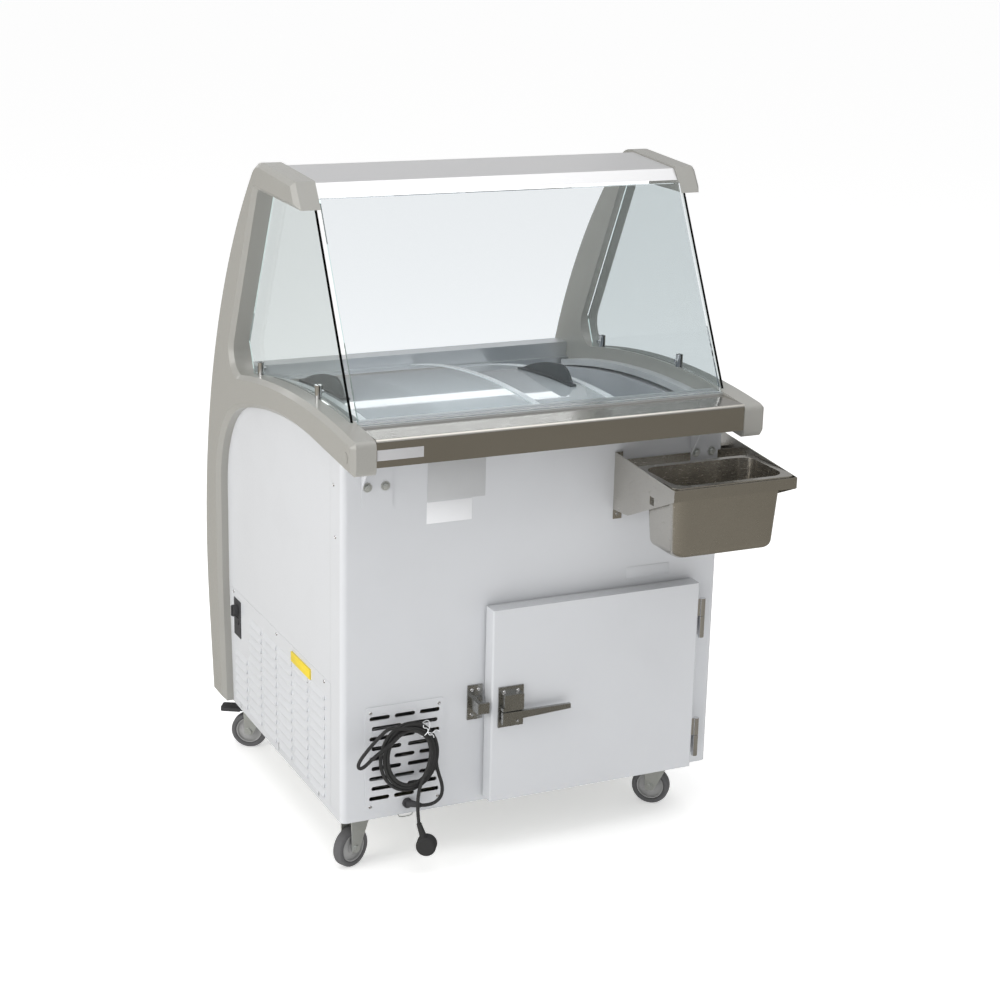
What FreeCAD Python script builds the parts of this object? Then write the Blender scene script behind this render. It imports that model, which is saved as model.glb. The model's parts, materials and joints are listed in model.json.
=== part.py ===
"""Ice cream display freezer: a chest cabinet on casters with a glass canopy.

Millimetres, +Z up.  X runs to the right along the front, Y runs back from the front,
and Z = 0 is the floor.  Pieces are modelled with Y = 0 on the white front face and are
moved at the end, so that the origin lies under the middle of the whole object.
"""
import math
import os

import FreeCAD
import Part

V = FreeCAD.Vector
X_AXIS = V(1, 0, 0)
Y_AXIS = V(0, 1, 0)
Z_AXIS = V(0, 0, 1)

# ---------------------------------------------------------------- cabinet body
BODY_WIDTH = 817.0
BODY_BOTTOM = 115.0
SHEET = 1.2
CORNER_R = 12.0
SEAM_Y = 58.0
RETURN_LIP = 14.0
GAP = 0.5

# -------------------------------------------------------------- side frames
FRAME_PROUD = 24.0
FRAME_DEPTH = 48.0
FRAME_CHAMFER = 9.0
ARM_CREST = (150.0, 928.0)
ARM_RADIUS = 2050.0
ARCH_CREST = (200.0, 868.0)
ARCH_RADIUS = 1250.0
ARCH_START_Y = 60.0
ARCH_CORNER_R = 215.0
NOSE_Y = -112.0
NOSE_BOTTOM = 846.0
NOSE_R = 12.0
LEG_FRONT_Y = 692.0
LEG_BEND_Z = 400.0
LEG_FOOT_FRONT_Y = 672.0
LEG_FOOT_Z = 118.0
LEG_FOOT_REAR_Y = 748.0
REAR_REACH = 783.0
REAR_RADIUS = 1227.0
REAR_CENTRE_Z = 470.0
REAR_STRAIGHT_Z = 325.0
REAR_INSET = 12.0
TOP_CORNER_R = 60.0
TOP_BACK = (390.0, 1344.0)
TOP_FRONT = (204.0, 1333.0)
TOP_TOE = (172.0, 1284.0)
WINDOW_TOP = (421.0, 1289.0)
WINDOW_TOP_R = 16.0
WINDOW_BACK = (588.0, 950.0)
WINDOW_BEND_R = 55.0
WINDOW_CORNER_R = 46.0
WINDOW_FOOT_SET = 12.0
CHEEK_LEDGE = 22.0
CHEEK_LEDGE_DROP = 27.0
CHEEK_LEDGE_THICK = 14.0

# ---------------------------------------------------------- top of the cabinet
BODY_TOP_DROP = 50.0
LEDGE_FRONT_Y = -110.0
LEDGE_BACK_Y = -28.0
LEDGE_TOP = 914.0
LEDGE_BOTTOM = 862.0
LEDGE_SHEET = 1.5
LEDGE_EDGE_R = 6.0
LEDGE_LIP = 14.0
LEDGE_BRACKET_X = (-370.0, 333.0)
LEDGE_BRACKET_WIDTH = 62.0
LEDGE_BRACKET_Z = 755.0
TRACK_BACK_Y = 16.0
TRACK_TOP = 918.0
TRACK_FLANGE = 11.0
TRACK_STEP = 9.0
REAR_RAIL_FRONT_Y = 655.0
REAR_RAIL_TOP = 878.0

# --------------------------------------------------------------- sliding lids
LID_WIDTH = 372.0
LID_GLASS = 5.0
LID_TRIM = 14.0
LID_TRIM_THICK = 9.0
LID_GLASS_SET = 1.5
LID_GRIP = 5.0
UPPER_LID_DROP = 10.0
LOWER_LID_DROP = 24.0
RIGHT_LID_OPEN = 168.0
HANDLE_X = (-333.0, 154.0)
HANDLE_ENDS = (172.0, 418.0)
HANDLE_CREST = (222.0, 36.0)
HANDLE_BACK = (315.0, 26.5)
HANDLE_FRONT = (193.0, 24.0)
HANDLE_THICK = 5.0
HANDLE_FOOT = 14.0
HANDLE_FOOT_THICK = 5.0
HANDLE_END = 5.0

# ---------------------------------------------------------------- glass canopy
GLASS = 6.0
FRONT_GLASS_FOOT = (-20.0, 919.0)
FRONT_GLASS_HEAD = (181.0, 1304.0)
SIDE_GLASS = 5.0
SIDE_GLASS_INSET = 6.0
CLAMP_Y = (163.0, 500.0)
CLAMP_HEIGHT = 26.0
SHELF_BACK = (377.0, 1340.0)
SHELF_FRONT = (208.0, 1329.0)
SHELF_TOE = (191.0, 1308.0)
SHELF_SHEET = 2.0
LAMP_Y = 250.0
LAMP_WIDTH = 26.0
LAMP_HEIGHT = 14.0
LAMP_END_GAP = 40.0

# ------------------------------------------------------------ tank and store
TANK_FLOOR = 575.0
TANK_SHEET = 1.5
TANK_FRONT_Y = 34.0
TANK_BACK_Y = 636.0
TANK_CORNER_R = 30.0
PIPE_GAP = 12.0
PIPE_R = 4.0
COIL_TURNS = 5
STORE_X = (-78.0, 322.0)
STORE_Z = (152.0, 500.0)
STORE_DEPTH = 520.0
MACHINE_RIGHT = -178.0
MACHINE_TOP = 400.0

# ------------------------------------------------------------ cooling machine
COMPRESSOR_PLACE = (-300.0, 330.0)
COMPRESSOR_RISE = 30.0
COMPRESSOR_R = 72.0
COMPRESSOR_HEIGHT = 110.0
COMPRESSOR_ROUND = (14.0, 30.0)
COMPRESSOR_PLATE = (85.0, 60.0)
FOOT_R = 9.0
FOOT_HEIGHT = 17.0
FOOT_INSET = 14.0
CONDENSER_X = (-366.0, -196.0)
CONDENSER_Y = (30.0, 84.0)
CONDENSER_Z = (139.0, 346.0)
FIN = 1.0
FIN_END = 2.0
FIN_INSET = 4.0
FIN_PITCH = 12.0
FINS = 17
TUBE_INSET = 16.0
TUBE_PITCH = 36.0
TUBE_ROWS = 6
FAN_CENTRE = (-281.0, 243.0)
FAN_Y = 100.0
FAN_R = 68.0
FAN_HUB_R = 18.0
FAN_HUB_LENGTH = 16.0
FAN_CHORD = 40.0
FAN_PITCH = 20.0
FAN_BLADES = 5
FAN_MOTOR_Y = 122.0
FAN_MOTOR_R = 30.0
FAN_MOTOR_LENGTH = 44.0
PIPE_FIRST_Z = 25.0
PIPE_PITCH = 38.0
DOWN_PIPES = ((-300.0, 300.0, 330.0, 560.0), (-250.0, 330.0, 350.0, 600.0))
DOWN_PIPE_Z = 260.0
DOWN_PIPE_BEND = 20.0

# --------------------------------------------------------------- store door
DOOR_X = (-109.5, 349.5)
DOOR_Z = (126.0, 528.0)
DOOR_THICK = 34.0
DOOR_GASKET = 3.0
DOOR_EDGE_R = 4.0
HINGE_X = 362.0
HINGE_Y = -30.0
HINGE_R = 6.0
HINGE_PIN_R = 3.0
HINGE_CLEAR = 0.05
HINGE_HEIGHT = 84.0
HINGE_SPLIT = 46.0
HINGE_LEAF = 2.0
HINGE_PLATE_SET = 1.0
HINGE_FOOT = 22.0
HINGE_CAP = 5.0
HINGE_Z = (146.0, 408.0)
LATCH_X = (-96.0, -42.0)
LATCH_Z = (284.0, 368.0)
LATCH_PLATE = 3.0
LATCH_PIVOT_X = -86.0
LATCH_LEVER_LENGTH = 140.0
LATCH_LEVER_Z = 312.0
LATCH_LEVER_HALF = 9.0
LATCH_HUB_R = 8.0
LATCH_PIN_R = 3.0
LATCH_PIN_SET = 13.0
LATCH_BAR = (14.0, 21.0)
LATCH_TIP = (-2.0, 8.0)
LATCH_CASE_DEPTH = 18.0
LATCH_CASE_INSET = 6.0
LATCH_LUG = 7.0
STRIKE_X = (-146.0, -114.0)
STRIKE_Z = (294.0, 366.0)
KEEPER_HALF = 11.0
KEEPER_INSET = 6.0
KEEPER_STEM = 10.0

# -------------------------------------------------------- vents and controls
LOUVRE_Y = (60.0, 676.0)
LOUVRE_TOP = 386.0
LOUVRE_FIRST_Y = 90.0
LOUVRE_PITCH_Y = 96.0
LOUVRE_LENGTH = 76.0
LOUVRE_FIRST_Z = 354.0
LOUVRE_PITCH_Z = 20.6
LOUVRE_ROWS = 11
LOUVRE_SHORT_ROWS = 6
LOUVRE_COLUMNS = 6
LOUVRE_RISE = 4.0
LOUVRE_DROP = 12.0
LOUVRE_MOUTH = 3.0
VENT_X = (-361.0, -195.0)
VENT_Z = (131.0, 351.0)
VENT_SHEET = 1.5
VENT_ROWS = 9
VENT_FIRST_ROW = 24.0
VENT_PITCH = 21.0
VENT_CORNER_R = 8.0
VENT_SLOT_HEIGHT = 8.6
VENT_SHORT_SLOTS = (3, 42.5, 52.5)
VENT_LONG_SLOTS = (2, 62.0, 76.0)
SWITCH_Y = (612.0, 656.0)
SWITCH_Z = (283.0, 367.0)

# ------------------------------------------------------------- bracket and pan
BRACKET_SHEET = 1.5
PAN_RIM = (265.0, 162.0)
PAN_DEPTH = 150.0
PAN_SHEET = 1.0
PAN_RIM_WIDTH = 12.0
PAN_TAPER = 10.0
PAN_CORNER_R = 30.0
PAN_BOTTOM_R = 16.0
PAN_RIM_THICK = 3.0
PAN_RIM_CORNER_R = 14.0
PAN_TOP = 799.0
PAN_CLEAR = 1.0
FRONT_REACH = 235.0
PAN_FRONT_Y = -FRONT_REACH + 3.0
BRACKET_LEFT_TOP = 811.0
BRACKET_LEFT_BOTTOM = 694.0
BRACKET_STRIP = 22.0
BRACKET_TAIL = 52.0

# ------------------------------------------------------------------- casters
WHEEL_R = 40.0
WHEEL_WIDTH = 22.0
AXLE_R = 4.0
AXLE_CLEAR = 0.05
CASTER_OFFSET = 28.0
CASTER_PLATE = 3.0
CASTER_PLATE_SIZE = 62.0
FORK_SHEET = 2.5
FORK_GAP = 2.0
BRAKE_PIVOT = (33.0, 90.0)
BRAKE_PIN_R = 2.5
BRAKE_LENGTH = 58.0
BRAKE_HALF_WIDTH = 17.0
CASTER_X = 346.0
CASTER_FRONT_Y = 60.0
CASTER_REAR_Y = 664.0
CASTERS = {
    "front_left": (-1, CASTER_FRONT_Y, 205.0, False),
    "front_right": (1, CASTER_FRONT_Y, 138.0, False),
    "rear_left": (-1, CASTER_REAR_Y, 150.0, True),
    "rear_right": (1, CASTER_REAR_Y, 62.0, True),
}

# ---------------------------------------------------------------- mains cord
CORD_R = 3.5
GLAND_ROOT = (-272.0, -4.0, 139.0)
GLAND_R = 8.0
GLAND_NUT = 6.0
CORD_TO_COIL = [(-252.0, -24.0, 139.0), (-232.0, -42.0, 143.0), (-208.0, -40.0, 168.0), (-222.0, -31.0, 206.0)]
CORD_STRAY = [(-296.0, -38.0, 312.0), (-326.0, -42.0, 324.0), (-358.0, -43.0, 298.0), (-394.0, -43.0, 258.0),
              (-386.0, -43.0, 243.0), (-354.0, -43.0, 270.0), (-322.0, -38.0, 284.0)]
CORD_TO_PLUG = [(-262.0, -38.0, 180.0), (-267.0, -41.0, 146.0), (-264.0, -44.0, 111.0)]
COIL_CENTRE = (-280.0, -30.0, 244.0)
COIL_OUTER = (68.0, 82.0)
COIL_INNER = (40.0, 50.0)
COIL_THICK = 32.0
PLUG_RELIEF = 36.0
PLUG_RELIEF_R = (5.0, 7.5)
PLUG_LEAN = V(0.30, -0.05, -0.95)
PLUG_NECK = 5.0
PLUG_ROUND = 6.0
PLUG_R = 20.0
PLUG_DEPTH = 24.0
PLUG_PIN = 19.0
PLUG_PIN_R = 2.4
PLUG_PIN_PITCH = 19.0
PLUG_TURN = math.radians(32.0)

# --------------------------------------------------------- sizes worked out
HALF = BODY_WIDTH / 2
OUTER_X = HALF + FRAME_PROUD
INNER_X = OUTER_X - FRAME_DEPTH
SHIFT_Y = -(REAR_REACH - FRONT_REACH) / 2
REAR_CENTRE_Y = REAR_REACH - REAR_RADIUS
OPENING_X = INNER_X - CHEEK_LEDGE
TANK_X = OPENING_X - 6.0
DOOR_FRONT_Y = -DOOR_GASKET - DOOR_THICK


# ------------------------------------------------------------------- helpers
def box(x0, x1, y0, y1, z0, z1):
    """A block between two corners."""
    return Part.makeBox(x1 - x0, y1 - y0, z1 - z0, V(x0, y0, z0))


def rod(start, axis, radius, length):
    """A round bar from a point along an axis."""
    return Part.makeCylinder(radius, length, V(*start), axis)


def on_arc(crest, radius, y):
    """Height of a circular arc below its crest."""
    centre_z = crest[1] - radius
    return centre_z + math.sqrt(radius ** 2 - (y - crest[0]) ** 2)


def drop(crest, amount):
    """The same arc's crest, lower by an amount along its radius."""
    return (crest[0], crest[1] - amount)


def along(crest, radius, y0, y1):
    """One arc step from y0 to y1: the point half way and the end point."""
    middle = (y0 + y1) / 2
    return (middle, on_arc(crest, radius, middle)), (y1, on_arc(crest, radius, y1))


def wire_yz(start, path, x=0.0):
    """A closed wire at one X from straight and three-point arc steps in (y, z)."""
    edges = []
    here = start
    for step in path + [(start,)]:
        there = step[-1]
        if math.dist(here, there) < 1e-6:
            continue
        if len(step) == 2:
            arc = Part.Arc(V(x, *here), V(x, *step[0]), V(x, *there))
            edges.append(arc.toShape())
        else:
            edges.append(Part.LineSegment(V(x, *here), V(x, *there)).toShape())
        here = there
    return Part.Wire(edges)


def prism_yz(start, path, x0, x1):
    """A solid with a (y, z) outline between two X planes."""
    return Part.Face(wire_yz(start, path, x0)).extrude(V(x1 - x0, 0, 0))


def curved_sheet(x0, x1, y0, y1, crest, thick):
    """A curved sheet below a crest, between two X and two Y planes."""
    under = drop(crest, thick)
    start = (y0, on_arc(under, ARM_RADIUS, y0))
    path = [along(under, ARM_RADIUS, y0, y1), ((y1, on_arc(crest, ARM_RADIUS, y1)),),
            along(crest, ARM_RADIUS, y1, y0)]
    return prism_yz(start, path, x0, x1)


def slab_xz(corners, y0, y1):
    """A solid with a straight (x, z) outline between two Y planes."""
    points = [V(x, y0, z) for x, z in corners]
    return Part.Face(Part.makePolygon(points + points[:1])).extrude(V(0, y1 - y0, 0))


def edges_on_line(shape, axis, places, reach=2.0):
    """Straight edges along an axis that pass near the given crossing points."""
    found = []
    for edge in shape.Edges:
        if not isinstance(edge.Curve, (Part.Line, Part.LineSegment)):
            continue
        if abs(abs(edge.tangentAt(edge.FirstParameter).dot(axis)) - 1) > 1e-6:
            continue
        middle = edge.CenterOfMass
        flat = [c for c, a in zip(middle, axis) if abs(a) < 0.5]
        if any(math.dist(flat, place) < reach for place in places):
            found.append(edge)
    return found


def round_lines(shape, axis, places, radius, reach=2.0):
    """Round the straight edges that pass near the given crossing points."""
    return shape.makeFillet(radius, edges_on_line(shape, axis, places, reach))


def mirrored(shape):
    """The same piece on the other side of the centre plane."""
    return shape.mirror(V(0, 0, 0), X_AXIS)


def group(pieces):
    """Separate solids kept together in one node."""
    return Part.makeCompound(pieces)


# ------------------------------------------------------------ cabinet body
def rear_y(z, inset):
    """Y of the curved rear at a height, moved forward by an inset."""
    return REAR_CENTRE_Y + math.sqrt((REAR_RADIUS - inset) ** 2 - (z - REAR_CENTRE_Z) ** 2)


def rear_outline(inset, top):
    """Steps in (y, z) up the curved rear of the cabinet, from its foot to its top."""
    bend = (rear_y(REAR_STRAIGHT_Z, inset), REAR_STRAIGHT_Z)
    lean = (rear_y(REAR_STRAIGHT_Z, 0.0) - LEG_FOOT_REAR_Y) / (REAR_STRAIGHT_Z - LEG_FOOT_Z)
    foot = (bend[0] - lean * (REAR_STRAIGHT_Z - BODY_BOTTOM), BODY_BOTTOM)
    middle = (REAR_CENTRE_Y + REAR_RADIUS - inset, REAR_CENTRE_Z)
    return foot, [(bend,), (middle, (rear_y(top, inset), top))]


def body_solid(half, inset, front, bottom):
    """The cabinet's block, smaller all round by an inset, with its curved top and rear."""
    crest = drop(ARM_CREST, BODY_TOP_DROP + inset)
    rear_top = on_arc(crest, ARM_RADIUS, LEG_FRONT_Y)
    foot, steps = rear_outline(REAR_INSET + inset, rear_top)
    foot = (foot[0], bottom)
    front_top = (front, on_arc(crest, ARM_RADIUS, front))
    path = [(foot,)] + steps + [(crest, front_top)]
    return prism_yz((front, bottom), path, -half, half)


def envelope():
    """The whole outside of the cabinet body."""
    return body_solid(HALF, 0.0, 0.0, BODY_BOTTOM)


def core():
    """The space inside the sheet metal."""
    solid = body_solid(HALF - SHEET, SHEET, SHEET, BODY_BOTTOM - 1.0)
    return round_lines(solid, Z_AXIS, [(-HALF + SHEET, SHEET), (HALF - SHEET, SHEET)], CORNER_R - SHEET)


def rounded_envelope():
    """The outside with its two front upright corners rounded."""
    solid = envelope()
    places = [(-HALF, 0.0), (HALF, 0.0)]
    return round_lines(solid, Z_AXIS, places, CORNER_R)


def front_panel():
    """White sheet over the front, wrapped round both corners to the seam."""
    shell = rounded_envelope()
    inner = body_solid(HALF - SHEET, 0.0, SHEET, BODY_BOTTOM - 1.0)
    inner = round_lines(inner, Z_AXIS, [(-HALF + SHEET, SHEET), (HALF - SHEET, SHEET)], CORNER_R - SHEET)
    panel = shell.cut(inner).common(box(-HALF, HALF, 0, SEAM_Y - GAP, BODY_BOTTOM, TRACK_TOP))
    store = box(STORE_X[0], STORE_X[1], -1, SHEET + 1, STORE_Z[0], STORE_Z[1])
    vent = box(VENT_X[0] + 10, VENT_X[1] - 10, -1, SHEET + 1, VENT_Z[0] + 10, VENT_Z[1] - 10)
    return panel.cut(store).cut(vent)


def side_sheet(side):
    """White sheet on one side, behind the seam."""
    slab = box(-HALF, -HALF + SHEET, SEAM_Y, REAR_REACH, BODY_BOTTOM, TRACK_TOP)
    sheet = envelope().common(slab)
    return sheet if side < 0 else mirrored(sheet)


def side_panel_left():
    """Left sheet, cut away low down for the louvred panel."""
    window = box(-HALF - 1, -HALF + SHEET + 1, LOUVRE_Y[0] - GAP, LOUVRE_Y[1] + GAP,
                 BODY_BOTTOM - 1, LOUVRE_TOP + GAP)
    return side_sheet(-1).cut(window)


def side_panel_right():
    """Right sheet, plain."""
    return side_sheet(1)


def louvre(y, z):
    """One pressed hood, open along its lower edge, on the outside of the panel."""
    x = -HALF
    top = V(x, y, z)
    lip = V(x - LOUVRE_RISE, y, z - LOUVRE_DROP)
    root = V(x, y, z - LOUVRE_DROP)
    face = Part.Face(Part.makePolygon([top, lip, root, top]))
    hood = face.extrude(V(0, LOUVRE_LENGTH, 0))
    return hood


def louvre_places():
    """The (y, z) of each louvre's upper front corner, column by column."""
    places = []
    for column in range(LOUVRE_COLUMNS):
        y = LOUVRE_FIRST_Y + column * LOUVRE_PITCH_Y
        short = column == LOUVRE_COLUMNS - 1
        rows = LOUVRE_SHORT_ROWS if short else LOUVRE_ROWS
        skip = LOUVRE_ROWS - rows
        for row in range(rows):
            places.append((y, LOUVRE_FIRST_Z - (row + (skip if short else 0)) * LOUVRE_PITCH_Z))
    return places


def louvre_panel():
    """Louvred sheet low on the left side, with three hook slots along its foot."""
    panel = box(-HALF, -HALF + SHEET, LOUVRE_Y[0], LOUVRE_Y[1], BODY_BOTTOM, LOUVRE_TOP)
    hoods = [louvre(y, z) for y, z in louvre_places()]
    mouths = [box(-HALF - 1, -HALF + SHEET + 1, y + 2, y + LOUVRE_LENGTH - 2,
                  z - LOUVRE_DROP - LOUVRE_MOUTH, z - LOUVRE_DROP) for y, z in louvre_places()]
    slots = [box(-HALF - 1, -HALF + SHEET + 1, y - 4, y + 4, BODY_BOTTOM + 6, BODY_BOTTOM + 22)
             for y in (127.0, 368.0, 619.0)]
    plate = box(-HALF - 1, -HALF + SHEET + 1, SWITCH_Y[0] + 3, SWITCH_Y[1] - 3,
                SWITCH_Z[0] + 3, SWITCH_Z[1] - 3)
    return panel.fuse(hoods).cut(mouths + slots + [plate])


def vent_slot(x, z, length):
    """Cutter for one round-ended slot in the vent cover."""
    half = (length - VENT_SLOT_HEIGHT) / 2
    flat = box(x - half, x + half, -VENT_SHEET - 1, 1, z - VENT_SLOT_HEIGHT / 2, z + VENT_SLOT_HEIGHT / 2)
    return flat.fuse([rod((end, -VENT_SHEET - 1, z), Y_AXIS, VENT_SLOT_HEIGHT / 2, VENT_SHEET + 2)
                      for end in (x - half, x + half)])


def vent_panel():
    """Slotted cover on the front, over the condenser: rows of three short and two long slots in turn."""
    panel = box(VENT_X[0], VENT_X[1], -VENT_SHEET, 0, VENT_Z[0], VENT_Z[1])
    corners = [(x, z) for x in VENT_X for z in VENT_Z]
    panel = round_lines(panel, Y_AXIS, corners, VENT_CORNER_R)
    middle = (VENT_X[0] + VENT_X[1]) / 2
    slots = []
    for row in range(VENT_ROWS):
        z = VENT_Z[1] - VENT_FIRST_ROW - row * VENT_PITCH
        count, length, pitch = VENT_LONG_SLOTS if row % 2 else VENT_SHORT_SLOTS
        slots += [vent_slot(middle + (place - (count - 1) / 2) * pitch, z, length) for place in range(count)]
    return panel.cut(slots)


def rear_panel():
    """Curved white sheet between the rear legs."""
    top = on_arc(drop(ARM_CREST, BODY_TOP_DROP), ARM_RADIUS, LEG_FRONT_Y)
    foot, steps = rear_outline(REAR_INSET - SHEET, top)
    back_foot, back_steps = rear_outline(REAR_INSET, top)
    inner_end = back_steps[-1][-1]
    bend = back_steps[0][0]
    middle = back_steps[1][0]
    path = steps + [(inner_end,), (middle, bend), (back_foot,)]
    return prism_yz(foot, path, -INNER_X + GAP, INNER_X - GAP)


def base_tray():
    """Steel tray under the cabinet, with turned-up edges."""
    inner = HALF - SHEET
    rear = rear_outline(REAR_INSET + SHEET, REAR_CENTRE_Z)[0][0] - 2.0
    tray = box(-inner, inner, SHEET, rear, BODY_BOTTOM, BODY_BOTTOM + 18)
    hollow = box(-inner + 2, inner - 2, SHEET + 2, rear - 2, BODY_BOTTOM + 2, BODY_BOTTOM + 19)
    return tray.cut(hollow).common(core())


def tank_block(grow, floor):
    """The tank's space, grown sideways by an amount, from a floor height upward."""
    block = box(-TANK_X - grow, TANK_X + grow, TANK_FRONT_Y - grow, TANK_BACK_Y + grow, floor, TRACK_TOP)
    places = [(s * (TANK_X + grow), y) for s in (-1, 1)
              for y in (TANK_FRONT_Y - grow, TANK_BACK_Y + grow)]
    return round_lines(block, Z_AXIS, places, TANK_CORNER_R + grow)


def tank_liner():
    """Open aluminium tank for the ice cream tubs, with a flange that covers the foam."""
    shell = tank_block(TANK_SHEET, TANK_FLOOR - TANK_SHEET).common(body_solid(HALF - SHEET, 0.0, SHEET, BODY_BOTTOM))
    x = INNER_X - GAP
    slab = body_solid(x, -GAP, SHEET, BODY_BOTTOM).cut(body_solid(HALF - SHEET, SHEET, SHEET, BODY_BOTTOM - 1.0))
    flange = slab.common(box(-x, x, TANK_FRONT_Y + GAP, TANK_BACK_Y + GAP, TANK_FLOOR, TRACK_TOP))
    return shell.fuse(flange).cut(tank_block(0, TANK_FLOOR))


def machine_space():
    """The compartment for the compressor, on the left under the tank."""
    return box(-HALF, MACHINE_RIGHT, -1, REAR_REACH + 1, BODY_BOTTOM - 2, MACHINE_TOP)


def store_block(grow):
    """The storage compartment's space, grown by an amount."""
    return box(STORE_X[0] - grow, STORE_X[1] + grow, -1, SHEET + STORE_DEPTH + grow,
               STORE_Z[0] - grow, STORE_Z[1] + grow)


def store_liner():
    """Plastic box behind the door, open to the front."""
    return store_block(TANK_SHEET).cut(store_block(0)).common(
        box(-HALF, HALF, SHEET, REAR_REACH, BODY_BOTTOM, MACHINE_TOP * 2))


def foam_core():
    """Foam between the sheet metal, the tank and the store."""
    block = core().cut(box(-HALF, HALF, -1, REAR_REACH, 0, BODY_BOTTOM + 18))
    block = block.cut(tank_block(TANK_SHEET + PIPE_GAP, TANK_FLOOR - TANK_SHEET))
    return block.cut(machine_space()).cut(store_block(TANK_SHEET))


def pipe(points, radius, bend):
    """A round pipe through points, with a bend at each inner one."""
    edges = []
    here = V(*points[0])
    for before, corner, after in zip(points, points[1:], points[2:]):
        c = V(*corner)
        u = (V(*before) - c).normalize()
        w = (V(*after) - c).normalize()
        turn = math.pi - u.getAngle(w)
        reach = bend * math.tan(turn / 2)
        a = c + u * reach
        b = c + w * reach
        out = (u + w).normalize()
        middle = c + out * (bend / math.cos(turn / 2) - bend)
        edges.append(Part.LineSegment(here, a).toShape())
        edges.append(Part.Arc(a, middle, b).toShape())
        here = b
    edges.append(Part.LineSegment(here, V(*points[-1])).toShape())
    wire = Part.Wire(edges)
    start = edges[0].tangentAt(edges[0].FirstParameter)
    ring = Part.Wire(Part.makeCircle(radius, V(*points[0]), start))
    return wire.makePipeShell([ring], True, False)


def refrigerant_pipes():
    """Evaporator turns round the tank, and the pipes down to the machine space."""
    reach = TANK_SHEET + PIPE_GAP / 2
    x = TANK_X + reach
    y0 = TANK_FRONT_Y - reach
    y1 = TANK_BACK_Y + reach
    bend = TANK_CORNER_R + reach
    turns = []
    for turn in range(COIL_TURNS):
        z = TANK_FLOOR + PIPE_FIRST_Z + turn * PIPE_PITCH
        start, end = x - bend * 2, x - bend * 2 - 3 * PIPE_R
        loop = [(start, y0, z), (x, y0, z), (x, y1, z), (-x, y1, z), (-x, y0, z), (end, y0, z)]
        turns.append(pipe(loop, PIPE_R, bend))
    downs = [pipe([(down, near, DOWN_PIPE_Z), (down, near, low), (down, far, low), (down, far, MACHINE_TOP)],
                  PIPE_R, DOWN_PIPE_BEND) for down, near, low, far in DOWN_PIPES]
    return group(turns + downs)


# -------------------------------------------------------------- side frames
def top_corner():
    """Where the top arm's upper line meets the curved rear, before it is rounded."""
    rise = (TOP_BACK[1] - TOP_FRONT[1]) / (TOP_BACK[0] - TOP_FRONT[0])
    low, high = TOP_BACK[0], REAR_REACH
    for _ in range(60):
        middle = (low + high) / 2
        z = TOP_BACK[1] + rise * (middle - TOP_BACK[0])
        inside = math.hypot(middle - REAR_CENTRE_Y, z - REAR_CENTRE_Z) < REAR_RADIUS
        low, high = (middle, high) if inside else (low, middle)
    return (low, TOP_BACK[1] + rise * (low - TOP_BACK[0]))


def window_foot():
    """Where the window's rear edge meets the low arm, before the corner is rounded."""
    y = WINDOW_BACK[0] + WINDOW_FOOT_SET
    return (y, on_arc(ARM_CREST, ARM_RADIUS, y))


def frame_outline():
    """The (y, z) outline of a side frame, starting at the nose's lower corner."""
    arch_centre = (ARCH_CREST[0], ARCH_CREST[1] - ARCH_RADIUS)
    corner_y = LEG_FRONT_Y - ARCH_CORNER_R
    span = ARCH_RADIUS - ARCH_CORNER_R
    corner_z = arch_centre[1] + math.sqrt(span ** 2 - (corner_y - arch_centre[0]) ** 2)
    scale = ARCH_RADIUS / span
    meet = (arch_centre[0] + (corner_y - arch_centre[0]) * scale,
            arch_centre[1] + (corner_z - arch_centre[1]) * scale)
    tilt = math.atan2(meet[1] - corner_z, meet[0] - corner_y) / 2
    corner_mid = (corner_y + ARCH_CORNER_R * math.cos(tilt), corner_z + ARCH_CORNER_R * math.sin(tilt))
    rear_bend = (rear_y(REAR_STRAIGHT_Z, 0.0), REAR_STRAIGHT_Z)
    arm_front = (NOSE_Y, on_arc(ARM_CREST, ARM_RADIUS, NOSE_Y))
    path = [
        ((ARCH_START_Y, on_arc(ARCH_CREST, ARCH_RADIUS, ARCH_START_Y)),),
        (ARCH_CREST, meet),
        (corner_mid, (LEG_FRONT_Y, corner_z)),
        ((LEG_FRONT_Y, LEG_BEND_Z),),
        ((LEG_FOOT_FRONT_Y, LEG_FOOT_Z),),
        ((LEG_FOOT_REAR_Y, LEG_FOOT_Z),),
        (rear_bend,),
        ((REAR_REACH, REAR_CENTRE_Z), top_corner()),
        (TOP_FRONT,),
        (TOP_TOE,),
        (WINDOW_TOP,),
        (WINDOW_BACK,),
        (window_foot(),),
        (ARM_CREST, arm_front),
    ]
    return (NOSE_Y, NOSE_BOTTOM), path


def side_frame_left():
    """Moulded side frame: a low arm, a curved rear leg and a top arm in one piece."""
    start, path = frame_outline()
    frame = prism_yz(start, path, -OUTER_X, -INNER_X)
    frame = round_lines(frame, X_AXIS, [start, path[-1][-1]], NOSE_R)
    frame = round_lines(frame, X_AXIS, [top_corner()], TOP_CORNER_R)
    frame = round_lines(frame, X_AXIS, [WINDOW_TOP], WINDOW_TOP_R)
    frame = round_lines(frame, X_AXIS, [WINDOW_BACK], WINDOW_BEND_R)
    frame = round_lines(frame, X_AXIS, [window_foot()], WINDOW_CORNER_R)
    outside = [edge for edge in frame.Edges
               if abs(edge.BoundBox.XMin + OUTER_X) < 1e-6 and abs(edge.BoundBox.XMax + OUTER_X) < 1e-6]
    frame = frame.makeChamfer(FRAME_CHAMFER, outside)
    return frame.cut(envelope())


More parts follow.
